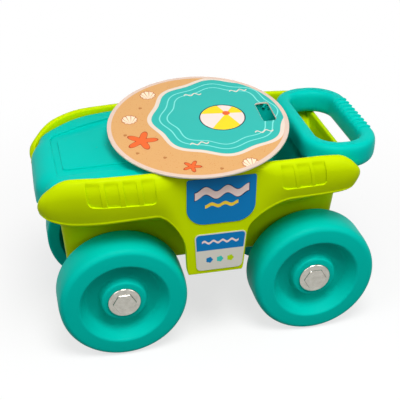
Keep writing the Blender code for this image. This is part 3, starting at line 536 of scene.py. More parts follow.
def rim_point(at, aside, down):
    """A point of the rail: aside from its crest line, which narrows at both ends, and down."""
    across = outward(at) * (aside * smooth_path(RIM_SHARE, at))
    return guide_point(CREST, at) + across - Vector((0.0, 0.0, down))


def edge_point(at):
    x, z = guide_point(LOWER_EDGE, at)
    side = rim_point(at, RAIL_ROUND, 0.0) - outward(at) * (POD_TUCK * smooth_path(SWELL, at))
    return Vector((x, side.y, z))


def skin_round(at):
    """Width and height share of the round between the rail's top and its outside: wide on the pods."""
    swell = smooth_path(SWELL, at)
    height = max((rim_point(at, RAIL_ROUND, 0.0) - edge_point(at)).length, POD_LEAST_HEIGHT)
    share = smooth_path(RIM_SHARE, at)
    tight = min(RAIL_ROUND * share / height, 0.5)
    return (RAIL_ROUND + POD_ROUND * swell) * share, tight + (POD_ROUND_SHARE - tight) * swell, height


def skin_point(at, share):
    """A point of the outside: from the rail's top (0) to the lower edge (1)."""
    width, tall, height = skin_round(at)
    reach = smooth_path(SWELL, at) * POD_BULGE * math.sin(math.pi * min(share, BULGE_END))
    if share < tall:
        reach -= width * (1.0 - math.sqrt(max(1.0 - (1.0 - share / tall) ** 2, 0.0)))
    return rim_point(at, RAIL_ROUND, 0.0).lerp(edge_point(at), share) + outward(at) * reach


def hull_point(at, height, inset=0.0):
    inset += HULL_DRAFT * (HULL_SHOULDER - height) / (HULL_SHOULDER - HULL_FLOOR)
    half = 0.5 * (HULL_REAR_X - HULL_FRONT_X)
    middle = 0.5 * (HULL_REAR_X + HULL_FRONT_X)
    point = guide_point(HULL, at)
    x = middle + (point.x - middle) * (1.0 - inset / half)
    return Vector((x, point.y * (1.0 - inset / HULL_HALF_WIDTH), height))


def hull_flare(low, high):
    rise = high.z - low.z
    point = low.lerp(high, min(FLARE_RATE * rise, FLARE_MOST))
    point.z = low.z + FLARE_RISE * rise
    return point


# %% Body: grip windows as a depth over the skin
def ramp(value, width):
    """0 outside, 1 inside, with soft ends."""
    s = min(max(value / width, 0.0), 1.0)
    return s * s * (3.0 - 2.0 * s)


def panel_at(at):
    """The panel that a section crosses and the place along it."""
    x = skin_point(at, MEASURE_SHARE).x
    for row in WINDOW_ROWS:
        if -1e-6 <= x - row[1] <= row[2] + 1e-6:
            return row, x - row[1]
    return None, 0.0


def panel_bottom(at):
    """How far down the skin the panel ends, with round corners at both ends."""
    row, along = panel_at(at)
    if row is None:
        return PLAIN_BOTTOM
    bottom = row[4]
    gap = WINDOW_CORNER - max(min(along, row[2] - along), 0.0)
    if gap > 0.0:
        bottom += WINDOW_CORNER - math.sqrt(WINDOW_CORNER ** 2 - gap ** 2)
    top, low = rim_point(at, RAIL_ROUND, 0.0).z, edge_point(at).z
    return (top - bottom) / (top - low)


def window_depth(at):
    """How far the panel lies in here: windows step in at one side and run out at the other."""
    row, along = panel_at(at)
    if row is None:
        return 0.0
    count, start, length, width, bottom = row
    left = along % ((length - width) / (count - 1))
    depth = PANEL_DEPTH
    if left < width:
        slope = LEFT_DEPTH + (RIGHT_DEPTH - LEFT_DEPTH) * left / width
        depth += slope * min(ramp(left, WINDOW_STEP), ramp(width - left, 2.0 * WINDOW_STEP))
    return depth * min(ramp(along, WINDOW_STEP), ramp(length - along, WINDOW_STEP))


# %% Body: sections and loft
ROUND_ROWS = [
    math.radians(ROUND_START + (90.0 - ROUND_START) * row / ROUND_COUNT) for row in range(ROUND_COUNT)
]


def skin_rows(at):
    """Rows of the outside as (place, way it faces, share of the window depth)."""
    width, tall, height = skin_round(at)
    up = Vector((0.0, 0.0, 1.0))
    rows = []
    for turn in ROUND_ROWS:
        away = outward(at) * (math.sin(turn) / width) + up * (math.cos(turn) / (tall * height))
        rows.append((tall * (1.0 - math.cos(turn)), away.normalized()))
    low = max(panel_bottom(at), tall + PANEL_LEAST)
    step = WINDOW_STEP / height
    panel = low - 4.0 * step - tall
    shares = [tall + panel * row / PANEL_COUNT for row in range(PANEL_COUNT + 1)] + [low - step, low]
    shares += [low + (SKIN_END - low) * row / LOWER_COUNT for row in range(1, LOWER_COUNT + 1)]
    rows += [(share, outward(at)) for share in shares]
    return [
        (share, facing, ramp(share * height - PANEL_TOP, PANEL_FADE) if share < low - 0.5 * step else 0.0)
        for share, facing in rows
    ]


def body_section(at):
    top = rim_point(at, -RAIL_INNER, RAIL_DEPTH)
    shoulder = hull_point(at, min(HULL_SHOULDER + smooth_path(SHOULDER_RISE, at), top.z - SHOULDER_GAP))
    edge = edge_point(at)
    away = outward(at)
    flange = EDGE_RETURN * smooth_path(FLANGE, at)
    corners = [
        (hull_point(at, HULL_FLOOR, FLOOR_INSET), 0.0),
        (hull_point(at, HULL_FLOOR), HULL_CORNER),
        (shoulder, HULL_CORNER),
        (hull_flare(shoulder, top), HULL_CORNER),
        (top, RAIL_FOOT_ROUND),
        (rim_point(at, -RAIL_INNER, 0.0), RAIL_LIP_ROUND),
    ]
    depth = window_depth(at)
    height = skin_round(at)[2]
    for share, facing, deep in skin_rows(at):
        corners.append((skin_point(at, share) - facing * (depth * deep), 0.0))
    rise = (skin_point(at, SKIN_END) - edge).normalized()
    bead = BEAD * smooth_path(BEAD_SHARE, at)
    corners += [
        (edge + rise * min(BEAD_TOP, BEAD_TOP_SHARE * height), 0.0),
        (edge + away * bead + rise * min(BEAD_FULL, BEAD_FULL_SHARE * height), BEAD_ROUND),
        (edge + away * bead, 2.0 * BEAD_ROUND),
        (edge - away * flange, 0.0),
    ]
    return round_section(corners)


def station_at_x(x):
    """The place along the rail where the skin passes a given X."""
    low, high = SEARCH_SPAN
    for _ in range(SEARCH_STEPS):
        middle = 0.5 * (low + high)
        low, high = (middle, high) if skin_point(middle, MEASURE_SHARE).x < x else (low, middle)
    return low


def body_stations():
    """Even steps everywhere, and steps of their own at every edge of the windows."""
    places = {round(LAST_STATION * step / BODY_STEPS, 6) for step in range(BODY_STEPS + 1)}
    for count, start, length, width, bottom in WINDOW_ROWS:
        pitch = (length - width) / (count - 1)
        marks = {-WINDOW_MARGIN, 0.0, length, length + WINDOW_MARGIN}
        for step in range(1, CORNER_COUNT + 1):
            near_end = WINDOW_CORNER * (step / CORNER_COUNT) ** 2
            marks |= {near_end, length - near_end}
        for number in range(count):
            quarters = [0.25 * step * width for step in range(5)]
            for mark in quarters + [WINDOW_STEP, width - 2.0 * WINDOW_STEP]:
                marks.add(number * pitch + mark)
            marks.add(min(number * pitch + 0.5 * (width + pitch), length))
        marks.add(length - WINDOW_STEP)
        ends = (station_at_x(start - WINDOW_ZONE), station_at_x(start + length + WINDOW_ZONE))
        places = {at for at in places if not ends[0] < at < ends[1]}
        places |= {round(station_at_x(start + mark), 7) for mark in marks}
    return sorted(places)


def flat_ends(sections):
    """The first and last sections lie on the middle plane."""
    for section in (sections[0], sections[-1]):
        for point in section:
            point.y = 0.0
    return sections


# %% Body: wall of the skirt
SKIRT_ZONE = (-0.036, 0.042)
SKIRT_HEIGHT = 0.145
SKIRT_SIDE = 0.060
SLACK = 0.0001


def mend_skirt(piece):
    """Keep the inside of the wall behind the flat skirt and within its steep edges."""
    points = piece.data.vertices
    count = len(points) // 2
    mended = 0
    for number in range(count):
        outside, inside = points[number].co, points[number + count].co
        side = outside.y + MIDDLE.y
        along = SKIRT_ZONE[0] < outside.x < SKIRT_ZONE[1]
        if not along or outside.z >= SKIRT_HEIGHT or abs(side) <= SKIRT_SIDE:
            continue
        shift = inside - outside
        if shift.x * math.copysign(1.0, outside.x) > SLACK or shift.y * math.copysign(1.0, side) > SLACK:
            points[number + count].co = outside - Vector((0.0, math.copysign(0.5 * WALL, side), 0.0))
            mended += 1
    return mended


stations = body_stations()
body = loft("lime_body", flat_ends([body_section(at) for at in stations]), WALL, LIME)
settle(body)
print("wall points mended", mend_skirt(body))
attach(body, "chassis")
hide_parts("body_shell")
print("body stations", len(stations), "faces", len(body.data.polygons))

# %% [markdown]
# ## Axle lugs
#
# Under the hull floor hang four lugs with a bore for the axles. They belong to the same moulding. Each is
# an outline with a round foot, joined to its bore ring by ring, with a small chamfer on its edges.

# %% Axle lugs
WHEEL_RADIUS = 0.0600
AXLE_X = {"front": -0.0845, "rear": 0.0995}
HANDS = {"left": -1, "right": 1}
LUG_RADIUS = 0.0105
LUG_OUTER_Y = 0.0380
LUG_THICKNESS = 0.0120
BORE_RADIUS = 0.0043
LUG_CHAMFER = 0.0008
LUG_STEPS = 64


def lug_outline(turn, inset):
    """Distance from the axle to the lug's outline in a direction."""
    radius = LUG_RADIUS - inset
    if math.sin(turn) <= 0.0:
        return radius
    rise = HULL_FLOOR - 0.5 * WALL - WHEEL_RADIUS
    return min(radius / max(abs(math.cos(turn)), 1e-6), rise / max(math.sin(turn), 1e-6))


def add_lug(builder, x, side):
    turns = full_turn(LUG_STEPS)
    outer = LUG_OUTER_Y
    inner = LUG_OUTER_Y - LUG_THICKNESS
    levels = ((outer, None), (outer, LUG_CHAMFER), (outer - LUG_CHAMFER, 0.0),
              (inner + LUG_CHAMFER, 0.0), (inner, LUG_CHAMFER), (inner, None))
    rings = []
    for y, inset in levels:
        ring = []
        for turn in turns:
            reach = BORE_RADIUS if inset is None else lug_outline(turn, inset)
            place = (x + reach * math.cos(turn), side * y, WHEEL_RADIUS + reach * math.sin(turn))
            ring.append(place)
        rings.append(ring)
    add_shell(builder, rings + rings[:1], close=False)


builder = bmesh.new()
for x in AXLE_X.values():
    for side in HANDS.values():
        add_lug(builder, x, side)
lugs = mesh_piece("axle_lugs", builder, LIME)
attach(lugs, "chassis")
print("lugs", len(lugs.data.polygons), "faces")

# %% [markdown]
# ## Teal sand bed
#
# The bed drops into the body: a rolled nose and deck in front, a deep tub behind it. It is lofted in the
# same way. Its deck has one shallow crease a little inside the edge, and the nose below the crease rolls
# down like the front of a boat.

# %% Sand bed: sizes and stations
DECK_TOP = 0.1880
TUB_FRONT_X = -0.0480
TUB_REAR_X = 0.0900
TUB_SLOPE = 0.0280
TUB_HALF_WIDTH = 0.0637
NEST = WALL + 0.0010
BED_GAP = 0.0003
BED_FLOOR = HULL_FLOOR + BED_GAP + WALL
BED_EDGE = (
    (-0.1545, 0.0, 0.1600), (-0.1540, 0.0250, 0.1600), (-0.1472, 0.0420, 0.1635), (-0.1425, 0.0490, 0.1712),
    (-0.1290, 0.0560, 0.1776), (-0.0950, 0.0667, 0.1839), (-0.0400, 0.0690, 0.1868), (0.0420, 0.0692, 0.1835),
    (0.0835, 0.0682, 0.1795), (0.0995, 0.0612, 0.1785), (0.1045, 0.0432, 0.1790), (0.1045, 0.0, 0.1790),
)
CREASE = (
    (-0.1346, 0.0, 0.1783), (-0.1346, 0.0220, 0.1781), (-0.1340, 0.0345, 0.1779), (-0.1318, 0.0392, 0.1782),
    (-0.1190, 0.0428, 0.1808), (-0.0890, 0.0496, 0.1854), (-0.0380, 0.0610, 0.1872), (0.0420, 0.0665, 0.1838),
    (0.0835, 0.0658, 0.1798), (0.0970, 0.0600, 0.1788), (0.0995, 0.0432, 0.1793), (0.0995, 0.0, 0.1793),
)
CREASE_DEPTH = (0.0014,) * 6 + (0.0003,) + (0.0,) * 5
TUB_MOUTH = (
    (-0.0480, 0.0, 0.1880), (-0.0480, 0.0250, 0.1880), (-0.0480, 0.0430, 0.1880), (-0.0466, 0.0510, 0.1880),
    (-0.0430, 0.0570, 0.1878), (-0.0360, 0.0615, 0.1874), (-0.0200, 0.0637, 0.1862), (0.0420, 0.0637, 0.1838),
    (0.0800, 0.0630, 0.1800), (0.0895, 0.0570, 0.1790), (0.0920, 0.0400, 0.1795), (0.0920, 0.0, 0.1795),
)
SKIRT_DROP = (0.0140, 0.0135, 0.0085) + (0.0080,) * 3 + (0.0090,) * 4 + (0.0100,) * 2
SKIRT_DRAFT = 0.022
BED_LAST = 11.0
BED_STEPS = 132
TUB_ROUND = 0.0080
TUB_FLOOR_INSET = 0.0120
TUB_KNEE = 0.0040
TUB_LEDGE = 0.0290
TUB_LEDGE_INSET = 0.0060
TUB_REAR_LEAN = 0.35
MOUTH_ROUND = 0.0025
CREASE_WIDTH = 0.0080
CREASE_RUN_OUT = 0.7
CREASE_SOFT = 0.0020
CREASE_STEP = 0.0002
EDGE_LAND = 0.0015
NOSE_ROWS = 17


# %% Sand bed: section and loft
def tub_point(at, height, width):
    mouth = guide_point(TUB_MOUTH, at)
    lean = TUB_SLOPE * (DECK_TOP - height) / (DECK_TOP - HULL_FLOOR)
    middle = 0.5 * (TUB_FRONT_X + TUB_REAR_X)
    share = min(max((mouth.x - middle) / (TUB_REAR_X - middle), -1.0), 1.0)
    x = mouth.x - lean * share * (1.0 if share < 0.0 else TUB_REAR_LEAN)
    return Vector((x, mouth.y * width / TUB_HALF_WIDTH, height))


def bed_section(at):
    floor_width = HULL_HALF_WIDTH - HULL_DRAFT - NEST
    mouth = guide_point(TUB_MOUTH, at)
    crease = guide_point(CREASE, at)
    edge = guide_point(BED_EDGE, at)
    depth = smooth_path(CREASE_DEPTH, at)
    inwards = (mouth - crease).normalized()
    down = Vector((0.0, 0.0, depth))
    corners = [
        (tub_point(at, BED_FLOOR, floor_width - TUB_FLOOR_INSET), 0.0),
        (tub_point(at, BED_FLOOR, floor_width), HULL_CORNER),
        (tub_point(at, HULL_SHOULDER + TUB_KNEE, HULL_HALF_WIDTH - NEST), TUB_ROUND),
        (tub_point(at, HULL_SHOULDER + TUB_LEDGE, TUB_HALF_WIDTH - TUB_LEDGE_INSET), TUB_ROUND),
        (mouth, MOUTH_ROUND),
        (crease + inwards * CREASE_WIDTH - down * CREASE_RUN_OUT, CREASE_SOFT),
        (crease + inwards * CREASE_STEP - down, 0.0),
        (crease, 2.0 * CREASE_STEP),
    ]
    for step in range(1, NOSE_ROWS):
        turn = 0.5 * math.pi * step / NOSE_ROWS
        point = crease.lerp(edge, math.sin(turn))
        point.z = edge.z + (crease.z - edge.z) * math.cos(turn)
        corners.append((point, 0.0))
    drop = smooth_path(SKIRT_DROP, at)
    corners += [
        (edge - Vector((0.0, 0.0, EDGE_LAND)), 0.0),
        (Vector((edge.x, edge.y * (1.0 - SKIRT_DRAFT), edge.z - drop)), 0.0),
    ]
    return round_section(corners)


bed_sections = flat_ends([bed_section(BED_LAST * step / BED_STEPS) for step in range(BED_STEPS + 1)])
bed = loft("teal_sand_bed", bed_sections, WALL, TEAL)
settle(bed)
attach(bed, "bed")
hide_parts("sand_bed")
print("bed faces", len(bed.data.polygons))

# %% [markdown]
# ## Raised pad on the deck
#
# A flat pad about a millimetre high runs from the nose back under the card. It widens towards the card and
# follows the deck below it, has a rounded upper edge, and is sunk a little so that no gap shows.


# %% Deck pad
def round_rectangle(left, right, low, high, corners, steps=10):
    """Outline of a rectangle with its own radius at each corner, from low left anticlockwise."""
    places = ((left, low, 1, 1), (right, low, -1, 1), (right, high, -1, -1), (left, high, 1, -1))
    outline = []
    for number, (x, y, dx, dy) in enumerate(places):
        radius = max(corners[number], 1e-5)
        for step in range(steps + 1):
            turn = math.pi * (1.0 + 0.5 * number) + 0.5 * math.pi * step / steps
            outline.append((x + radius * (dx + math.cos(turn)), y + radius * (dy + math.sin(turn))))
    return outline


PAD = (-0.1285, -0.0540, -0.0340, 0.0340)
PAD_EDGE = 0.0004
PAD_HEIGHT = 0.0014
PAD_SINK = 0.0030
PAD_CORNER = 0.0040
PAD_REAR_CORNER = 0.0010
PAD_LEAST_CORNER = 0.0005
PAD_EDGE_ROWS = 5
PAD_FRONT_SHARE = 0.853
PAD_SPREAD = 5.46
PAD_REACH = 0.0345
PAD_ROWS = 16


def deck_height(x, y):
    """Height of the deck under a place, found with a ray from above."""
    hit, place, *_ = bed.ray_cast(Vector((x, y, 1.0)) - MIDDLE, Vector((0.0, 0.0, -1.0)))
    return place.z if hit else DECK_TOP


def pad_ring(inset, sink):
    """One ring of the pad, which widens towards the card and follows the deck."""
    front = max(PAD_CORNER - inset, PAD_LEAST_CORNER)
    outline = round_rectangle(PAD[0] + inset, PAD[1] - inset, PAD[2] + inset, PAD[3] - inset,
                              (front, PAD_REAR_CORNER, PAD_REAR_CORNER, front))
    ring = []
    for x, y in outline:
        y *= PAD_FRONT_SHARE + PAD_SPREAD * (x - PAD[0])
        ring.append((x, y, deck_height(x, y) + PAD_HEIGHT - sink))
    return ring


rings = [pad_ring(0.0, PAD_SINK)]
for step in range(PAD_EDGE_ROWS + 1):
    turn = 0.5 * math.pi * step / PAD_EDGE_ROWS
    rings.append(pad_ring(PAD_EDGE * (1.0 - math.cos(turn)), PAD_EDGE * (1.0 - math.sin(turn))))
rings += [pad_ring(PAD_REACH * step / PAD_ROWS, 0.0) for step in range(1, PAD_ROWS + 1)]
builder = bmesh.new()
add_shell(builder, rings)
pad = mesh_piece("deck_pad", builder, TEAL)
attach(pad, "bed")
print("pad", len(pad.data.polygons), "faces")

# %% [markdown]
# ## Grip
#
# The grip is a thick D-shaped loop at the rear of the bed. A rounded section is swept along its centre
# line. The finger ribs repeat along the straight bar, so a small Geometry Nodes tree makes them: one rib is
# bent over the section's top and copied at an even pitch.

# %% Grip loop
GRIP_X = 0.1525
GRIP_FRONT_X = 0.0960
GRIP_HALF_SPAN = 0.0608
GRIP_WIDTH = 0.0155
GRIP_HEIGHT = 0.0233
GRIP_MIDDLE_Z = 0.1834
GRIP_CORNER = 0.0260
GRIP_SQUARE = 0.60
GRIP_STEPS = 24
RIB_POINTS = 22
RIB_START = 52.0
RIB_STEP = 4.4


def grip_line():
    """Centre line of the loop with its outward direction."""
    half_x = 0.5 * (GRIP_X - GRIP_FRONT_X)
    middle = 0.5 * (GRIP_X + GRIP_FRONT_X)
    line = []
    for quarter, (across, along) in enumerate(((1, 1), (-1, 1), (-1, -1), (1, -1))):
        centre = Vector((middle + across * (half_x - GRIP_CORNER), along * (GRIP_HALF_SPAN - GRIP_CORNER), 0.0))
        for step in range(GRIP_STEPS + 1):
            turn = 0.5 * math.pi * (quarter + step / GRIP_STEPS)
            away = Vector((math.cos(turn), math.sin(turn), 0.0))
            line.append((centre + away * GRIP_CORNER, away))
    return line


def power_of(value):
    return math.copysign(abs(value) ** GRIP_SQUARE, value)


def grip_rings(sides=48):
    rings = []
    for point, away in grip_line():
        ring = []
        for step in range(sides):
            turn = 2.0 * math.pi * (step + 0.5) / sides
            place = point + away * (0.5 * GRIP_WIDTH * power_of(math.cos(turn)))
            ring.append((place.x, place.y, GRIP_MIDDLE_Z + 0.5 * GRIP_HEIGHT * power_of(math.sin(turn))))
        rings.append(ring)
    return rings


builder = bmesh.new()
rings = grip_rings()
add_shell(builder, rings + rings[:1], close=False)
grip = mesh_piece("grip_loop", builder, TEAL)
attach(grip, "bed")
print("grip", len(grip.data.polygons), "faces")


# %% Finger ribs with Geometry Nodes
def start_tree(name, sizes):
    """A Geometry Nodes tree with named inputs: the tree, identifiers, input sockets and point index."""
    tree = bpy.data.node_groups.new(name, "GeometryNodeTree")
    names = {}
    tree.interface.new_socket("Geometry", in_out="INPUT", socket_type="NodeSocketGeometry")
    for label, kind, value in sizes:
        socket = tree.interface.new_socket(label, in_out="INPUT", socket_type="NodeSocket" + kind)
        socket.default_value = value
        names[label] = socket.identifier
    tree.interface.new_socket("Geometry", in_out="OUTPUT", socket_type="NodeSocketGeometry")
    index = Formula(tree, tree.nodes.new("GeometryNodeInputIndex").outputs[0])
    return tree, names, tree.nodes.new("NodeGroupInput").outputs, index


def finish_tree(tree, geometry, material):
    """Make the geometry real, give it its material and put it out."""
    real = add_node(tree, "GeometryNodeRealizeInstances", {"Geometry": geometry})
    finish = add_node(tree, "GeometryNodeSetMaterial", {"Geometry": real, "Material": material})
    add_node(tree, "NodeGroupOutput", {0: finish})


def build_rib_tree():
    tree, names, entry, index = start_tree("finger_ribs", (
        ("Count", "Int", 8), ("Pitch", "Float", 0.0082), ("Half Width", "Float", 0.008),
        ("Half Height", "Float", 0.0107), ("Thickness", "Float", 0.0011), ("Square", "Float", GRIP_SQUARE),
    ))
    turn = index.math("MULTIPLY_ADD", math.radians(RIB_STEP), math.radians(RIB_START))

    def squared(value):
        return abs(value).math("POWER", entry["Square"]) * value.math("SIGN")

    bend = add_node(tree, "GeometryNodeMeshLine", {"Count": RIB_POINTS})
    place = add_node(tree, "ShaderNodeCombineXYZ", {
        "X": squared(turn.math("COSINE")) * entry["Half Width"],
        "Z": squared(turn.math("SINE")) * entry["Half Height"],
    })
    bent = add_node(tree, "GeometryNodeSetPosition", {"Geometry": bend, "Position": place})
    curve = add_node(tree, "GeometryNodeMeshToCurve", {0: bent})
    section = add_node(tree, "GeometryNodeCurvePrimitiveCircle", {
        "Resolution": 10, "Radius": entry["Thickness"],
    })
    rib = add_node(tree, "GeometryNodeCurveToMesh", {
        "Curve": curve, "Profile Curve": section, "Fill Caps": True,
    })
    span = calc(tree, "SUBTRACT", entry["Count"], 1.0) * entry["Pitch"]
    start = add_node(tree, "ShaderNodeCombineXYZ", {"X": GRIP_X, "Y": span * -0.5, "Z": GRIP_MIDDLE_Z})
    step = add_node(tree, "ShaderNodeCombineXYZ", {"Y": entry["Pitch"]})
    row = add_node(tree, "GeometryNodeMeshLine", {
        "Count": entry["Count"], "Start Location": start, "Offset": step,
    })
    copies = add_node(tree, "GeometryNodeInstanceOnPoints", {"Points": row, "Instance": rib})
    smooth = add_node(tree, "GeometryNodeSetShadeSmooth", {"Geometry": copies})
    finish_tree(tree, smooth, TEAL)
    return tree, names


def grow(name, tree, names, values, seed_mesh=None):
    """Run a tree on an object and keep the result as a plain mesh."""
    holder = bpy.data.objects.new(name, seed_mesh or bpy.data.meshes.new(name + "_seed"))
    bpy.context.collection.objects.link(holder)
    modifier = holder.modifiers.new("nodes", "NODES")
    modifier.node_group = tree
    for label, value in values.items():
        modifier[names[label]] = value
    graph = bpy.context.evaluated_depsgraph_get()
    mesh = bpy.data.meshes.new_from_object(holder.evaluated_get(graph))
    holder.modifiers.clear()
    mesh.transform(Matrix.Translation(-MIDDLE))
    holder.data = mesh
    return holder


rib_tree, rib_names = build_rib_tree()
ribs = grow("finger_ribs", rib_tree, rib_names, {"Count": 9, "Pitch": 0.0077, "Half Width": 0.0077,
                                                 "Half Height": 0.0119, "Thickness": 0.0011})
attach(ribs, "bed")
print("rib faces", len(ribs.data.polygons))

# %% [markdown]
# ## Wheels
#
# Each wheel is a turned form: a dished face with a boss in the middle, a round shoulder, a plain tread and
# a hollow back. A tree turns one section about the axle: a grid has one row for each point of the section
# and one column for each step of the turn, and every grid point looks up its radius and depth.

# %% Wheel section
WHEEL_WIDTH = 0.0350
WHEEL_FACE_Y = 0.0793
HUB_RADIUS = 0.0090
HUB_CLEARANCE = 0.0003
WHEEL_STEPS = 144


def wheel_section():
    """Closed section with round corners: radius in X, depth behind the outer face in Y."""
    hub_end = WHEEL_FACE_Y - LUG_OUTER_Y - HUB_CLEARANCE
    corners = (
        (BORE_RADIUS, 0.0050, 0.0), (0.0208, 0.0050, 0.0022), (0.0225, 0.0145, 0.0022),
        (0.0355, 0.0145, 0.0030), (0.0408, 0.0012, 0.0012), (0.0424, 0.0, 0.0012), (0.0560, 0.0004, 0.0032),
        (0.0591, 0.0040, 0.0030), (0.0600, 0.0110, 0.0050), (0.0600, 0.0330, 0.0018),
        (0.0588, WHEEL_WIDTH, 0.0010),
        (0.0480, WHEEL_WIDTH, 0.0010), (0.0470, 0.0200, 0.0030), (HUB_RADIUS, 0.0180, 0.0015),
        (HUB_RADIUS, hub_end, 0.0006),
        (BORE_RADIUS, hub_end, 0.0),
    )
    return round_section([(Vector((r, d, 0.0)), size) for r, d, size in corners], steps=6)


# %% Turning tree
def build_turning_tree():
    tree, names, entry, index = start_tree("turned_on_axle", (
        ("Points", "Int", 8), ("Steps", "Int", 96), ("Side", "Float", 1.0),
        ("Centre", "Vector", (0.0, 0.0, 0.0)), ("Material", "Material", None),
    ))
    grid = add_node(tree, "GeometryNodeMeshGrid", {
        "Vertices X": calc(tree, "ADD", entry["Steps"], 1.0), "Vertices Y": entry["Points"],
    })
    step = (index + 0.5).math("DIVIDE", entry["Points"]).math("FLOOR")
    row = index - step * entry["Points"]
    look = add_node(tree, "GeometryNodeSampleIndex", {
        "Geometry": entry["Geometry"], "Value": tree.nodes.new("GeometryNodeInputPosition"), "Index": row,
    }, data_type="FLOAT_VECTOR")
    radius, depth, _ = axes_of(tree, look)
    turn = step.math("DIVIDE", entry["Steps"]) * (2.0 * math.pi)
    place = add_node(tree, "ShaderNodeCombineXYZ", {
        "X": radius * turn.math("COSINE"), "Y": depth * entry["Side"], "Z": radius * turn.math("SINE"),
    })
    shift = add_node(tree, "ShaderNodeVectorMath", {0: place, 1: entry["Centre"]})
    moved = add_node(tree, "GeometryNodeSetPosition", {"Geometry": grid, "Position": shift})
    weld = add_node(tree, "GeometryNodeMergeByDistance", {"Geometry": moved, "Distance": 1e-6})
    finish_tree(tree, weld, entry["Material"])
    return tree, names


def section_mesh(name, section):
    mesh = bpy.data.meshes.new(name)
    mesh.from_pydata([tuple(p) for p in section], [(i, i + 1) for i in range(len(section) - 1)], [])
    return mesh


def face_outwards(piece, sharp_angle=50.0):
    """Recalculate the normals of a closed mesh and shade it smooth."""
    builder = bmesh.new()
    builder.from_mesh(piece.data)
    bmesh.ops.recalc_face_normals(builder, faces=builder.faces)
    builder.to_mesh(piece.data)
    builder.free()
    piece.data.shade_smooth()
    piece.data.set_sharp_from_angle(angle=math.radians(sharp_angle))


# %% Four wheels
turning_tree, turning_names = build_turning_tree()
section = wheel_section()
section.append(section[0])
for end, x in AXLE_X.items():
    for hand, side in HANDS.items():
        wheel = grow(f"{end}_{hand}_wheel", turning_tree, turning_names, {
            "Points": len(section), "Steps": WHEEL_STEPS, "Side": -float(side),
            "Centre": (x, side * WHEEL_FACE_Y, WHEEL_RADIUS), "Material": WHEEL_TEAL,
        }, section_mesh("wheel_section", section))
        face_outwards(wheel)
        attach(wheel, f"{end}_{hand}_wheel")
        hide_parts(f"wheel_{end}_{hand}")
        print(wheel.name, len(wheel.data.polygons), "faces")

# %% [markdown]
# ## Axles and bright caps
#
# The axles are drawn steel rods, and a pressed cap with a raised hexagon holds each wheel. Both metals have
# fine marks, so they share one shader group: rings of faint scratches that change the roughness and the
# height a little. Without them polished metal looks like a mirror in a computer picture.


# %% Shader group: worked metal
def build_metal_group():
    group, entry, leave = shader_group(
        "worked_metal", {"Roughness": 0.2, "Stretch": 1.0, "Mark Size": 0.0004},
        ("Roughness", "Height", "Tarnish"))
    place = object_place(group)
    stretch = add_node(group, "ShaderNodeCombineXYZ", {"X": 1.0, "Y": entry["Stretch"], "Z": 1.0})
    scaled = add_node(group, "ShaderNodeVectorMath", {0: place, 1: stretch}, operation="MULTIPLY")
    marks = noise(group, scaled, calc(group, "DIVIDE", 1.0, entry["Mark Size"]), Detail=3.0)
    cloud = noise(group, place, 220.0)
    link_or_set(group, leave["Roughness"], (cloud - 0.5).math("MULTIPLY_ADD", 0.22, entry["Roughness"]))
    link_or_set(group, leave["Height"], marks)
    link_or_set(group, leave["Tarnish"], cloud)
    return group


WORKED = build_metal_group()


def metal(name, clean, dull, roughness, stretch, mark_size, bump_strength):
    values = {"Roughness": roughness, "Stretch": stretch, "Mark Size": mark_size}
    material, node, shader = group_material(name, WORKED, values, bump_strength, 0.0001)
    tree = material.node_tree
    tree.links.new(blend_colours(tree, node.outputs["Tarnish"], clean, dull), shader.inputs["Base Color"])
    shader.inputs["Metallic"].default_value = 1.0
    return material


CAP_BRIGHT = metal("bright_pressed_cap", paint(196, 193, 184), paint(160, 157, 148), 0.20, 1.0, 0.0012, 0.10)
ROD_STEEL = metal("drawn_axle_steel", paint(186, 186, 182), paint(150, 150, 147), 0.32, 0.08, 0.0003, 0.20)
for end in AXLE_X:
    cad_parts[f"axle_{end}"].material_slots[0].material = ROD_STEEL
print("metals", CAP_BRIGHT.name, ROD_STEEL.name)

# %% Caps
CAP_RADIUS = 0.0154
CAP_HEIGHT = 0.0022
CAP_TOP = 0.0036
CAP_HEX = 0.0098
CAP_BACK_Y = 0.0746
CAP_SOCKET = 0.0018
CAP_STEPS = 120
CAP_FOOT = 0.0004
CAP_RIM = 0.0005
CAP_DOME = 0.0026
CAP_DOME_ROWS = 8
HEX_CORNER = 1.13


def cap_rings():
    """Radius and height of each ring, from the blind socket round the back and over the face."""
    turns = full_turn(CAP_STEPS)
    hexagon = [1.0 / math.cos((turn % (math.pi / 3.0)) - math.pi / 6.0) for turn in turns]
    soft = [min(h, HEX_CORNER) for h in hexagon]
    circle = [1.0] * CAP_STEPS
    rows = [(circle, BORE_RADIUS, CAP_SOCKET), (circle, BORE_RADIUS, 0.0),
            (circle, CAP_RADIUS - CAP_FOOT, 0.0)]
    for step in range(CAP_DOME_ROWS + 1):
        turn = 0.5 * math.pi * step / CAP_DOME_ROWS
        reach = CAP_RADIUS - CAP_DOME * (1.0 - math.cos(turn))
        rows.append((circle, reach, CAP_RIM + (CAP_HEIGHT - CAP_RIM) * math.sin(turn)))
    rows += [(soft, CAP_HEX + 0.0006, CAP_HEIGHT - 0.0002), (soft, CAP_HEX, CAP_HEIGHT),
             (soft, CAP_HEX - 0.0003, CAP_TOP - 0.0006), (soft, CAP_HEX - 0.0006, CAP_TOP - 0.0002),
             (soft, CAP_HEX - 0.0011, CAP_TOP), (circle, 0.0066, CAP_TOP - 0.0001),
             (circle, 0.0060, CAP_TOP - 0.0003), (circle, 0.0054, CAP_TOP - 0.0001),
             (circle, 0.0010, CAP_TOP)]
    return [[(s * size * math.cos(t), height, s * size * math.sin(t)) for s, t in zip(shape, turns)]
            for shape, size, height in rows]


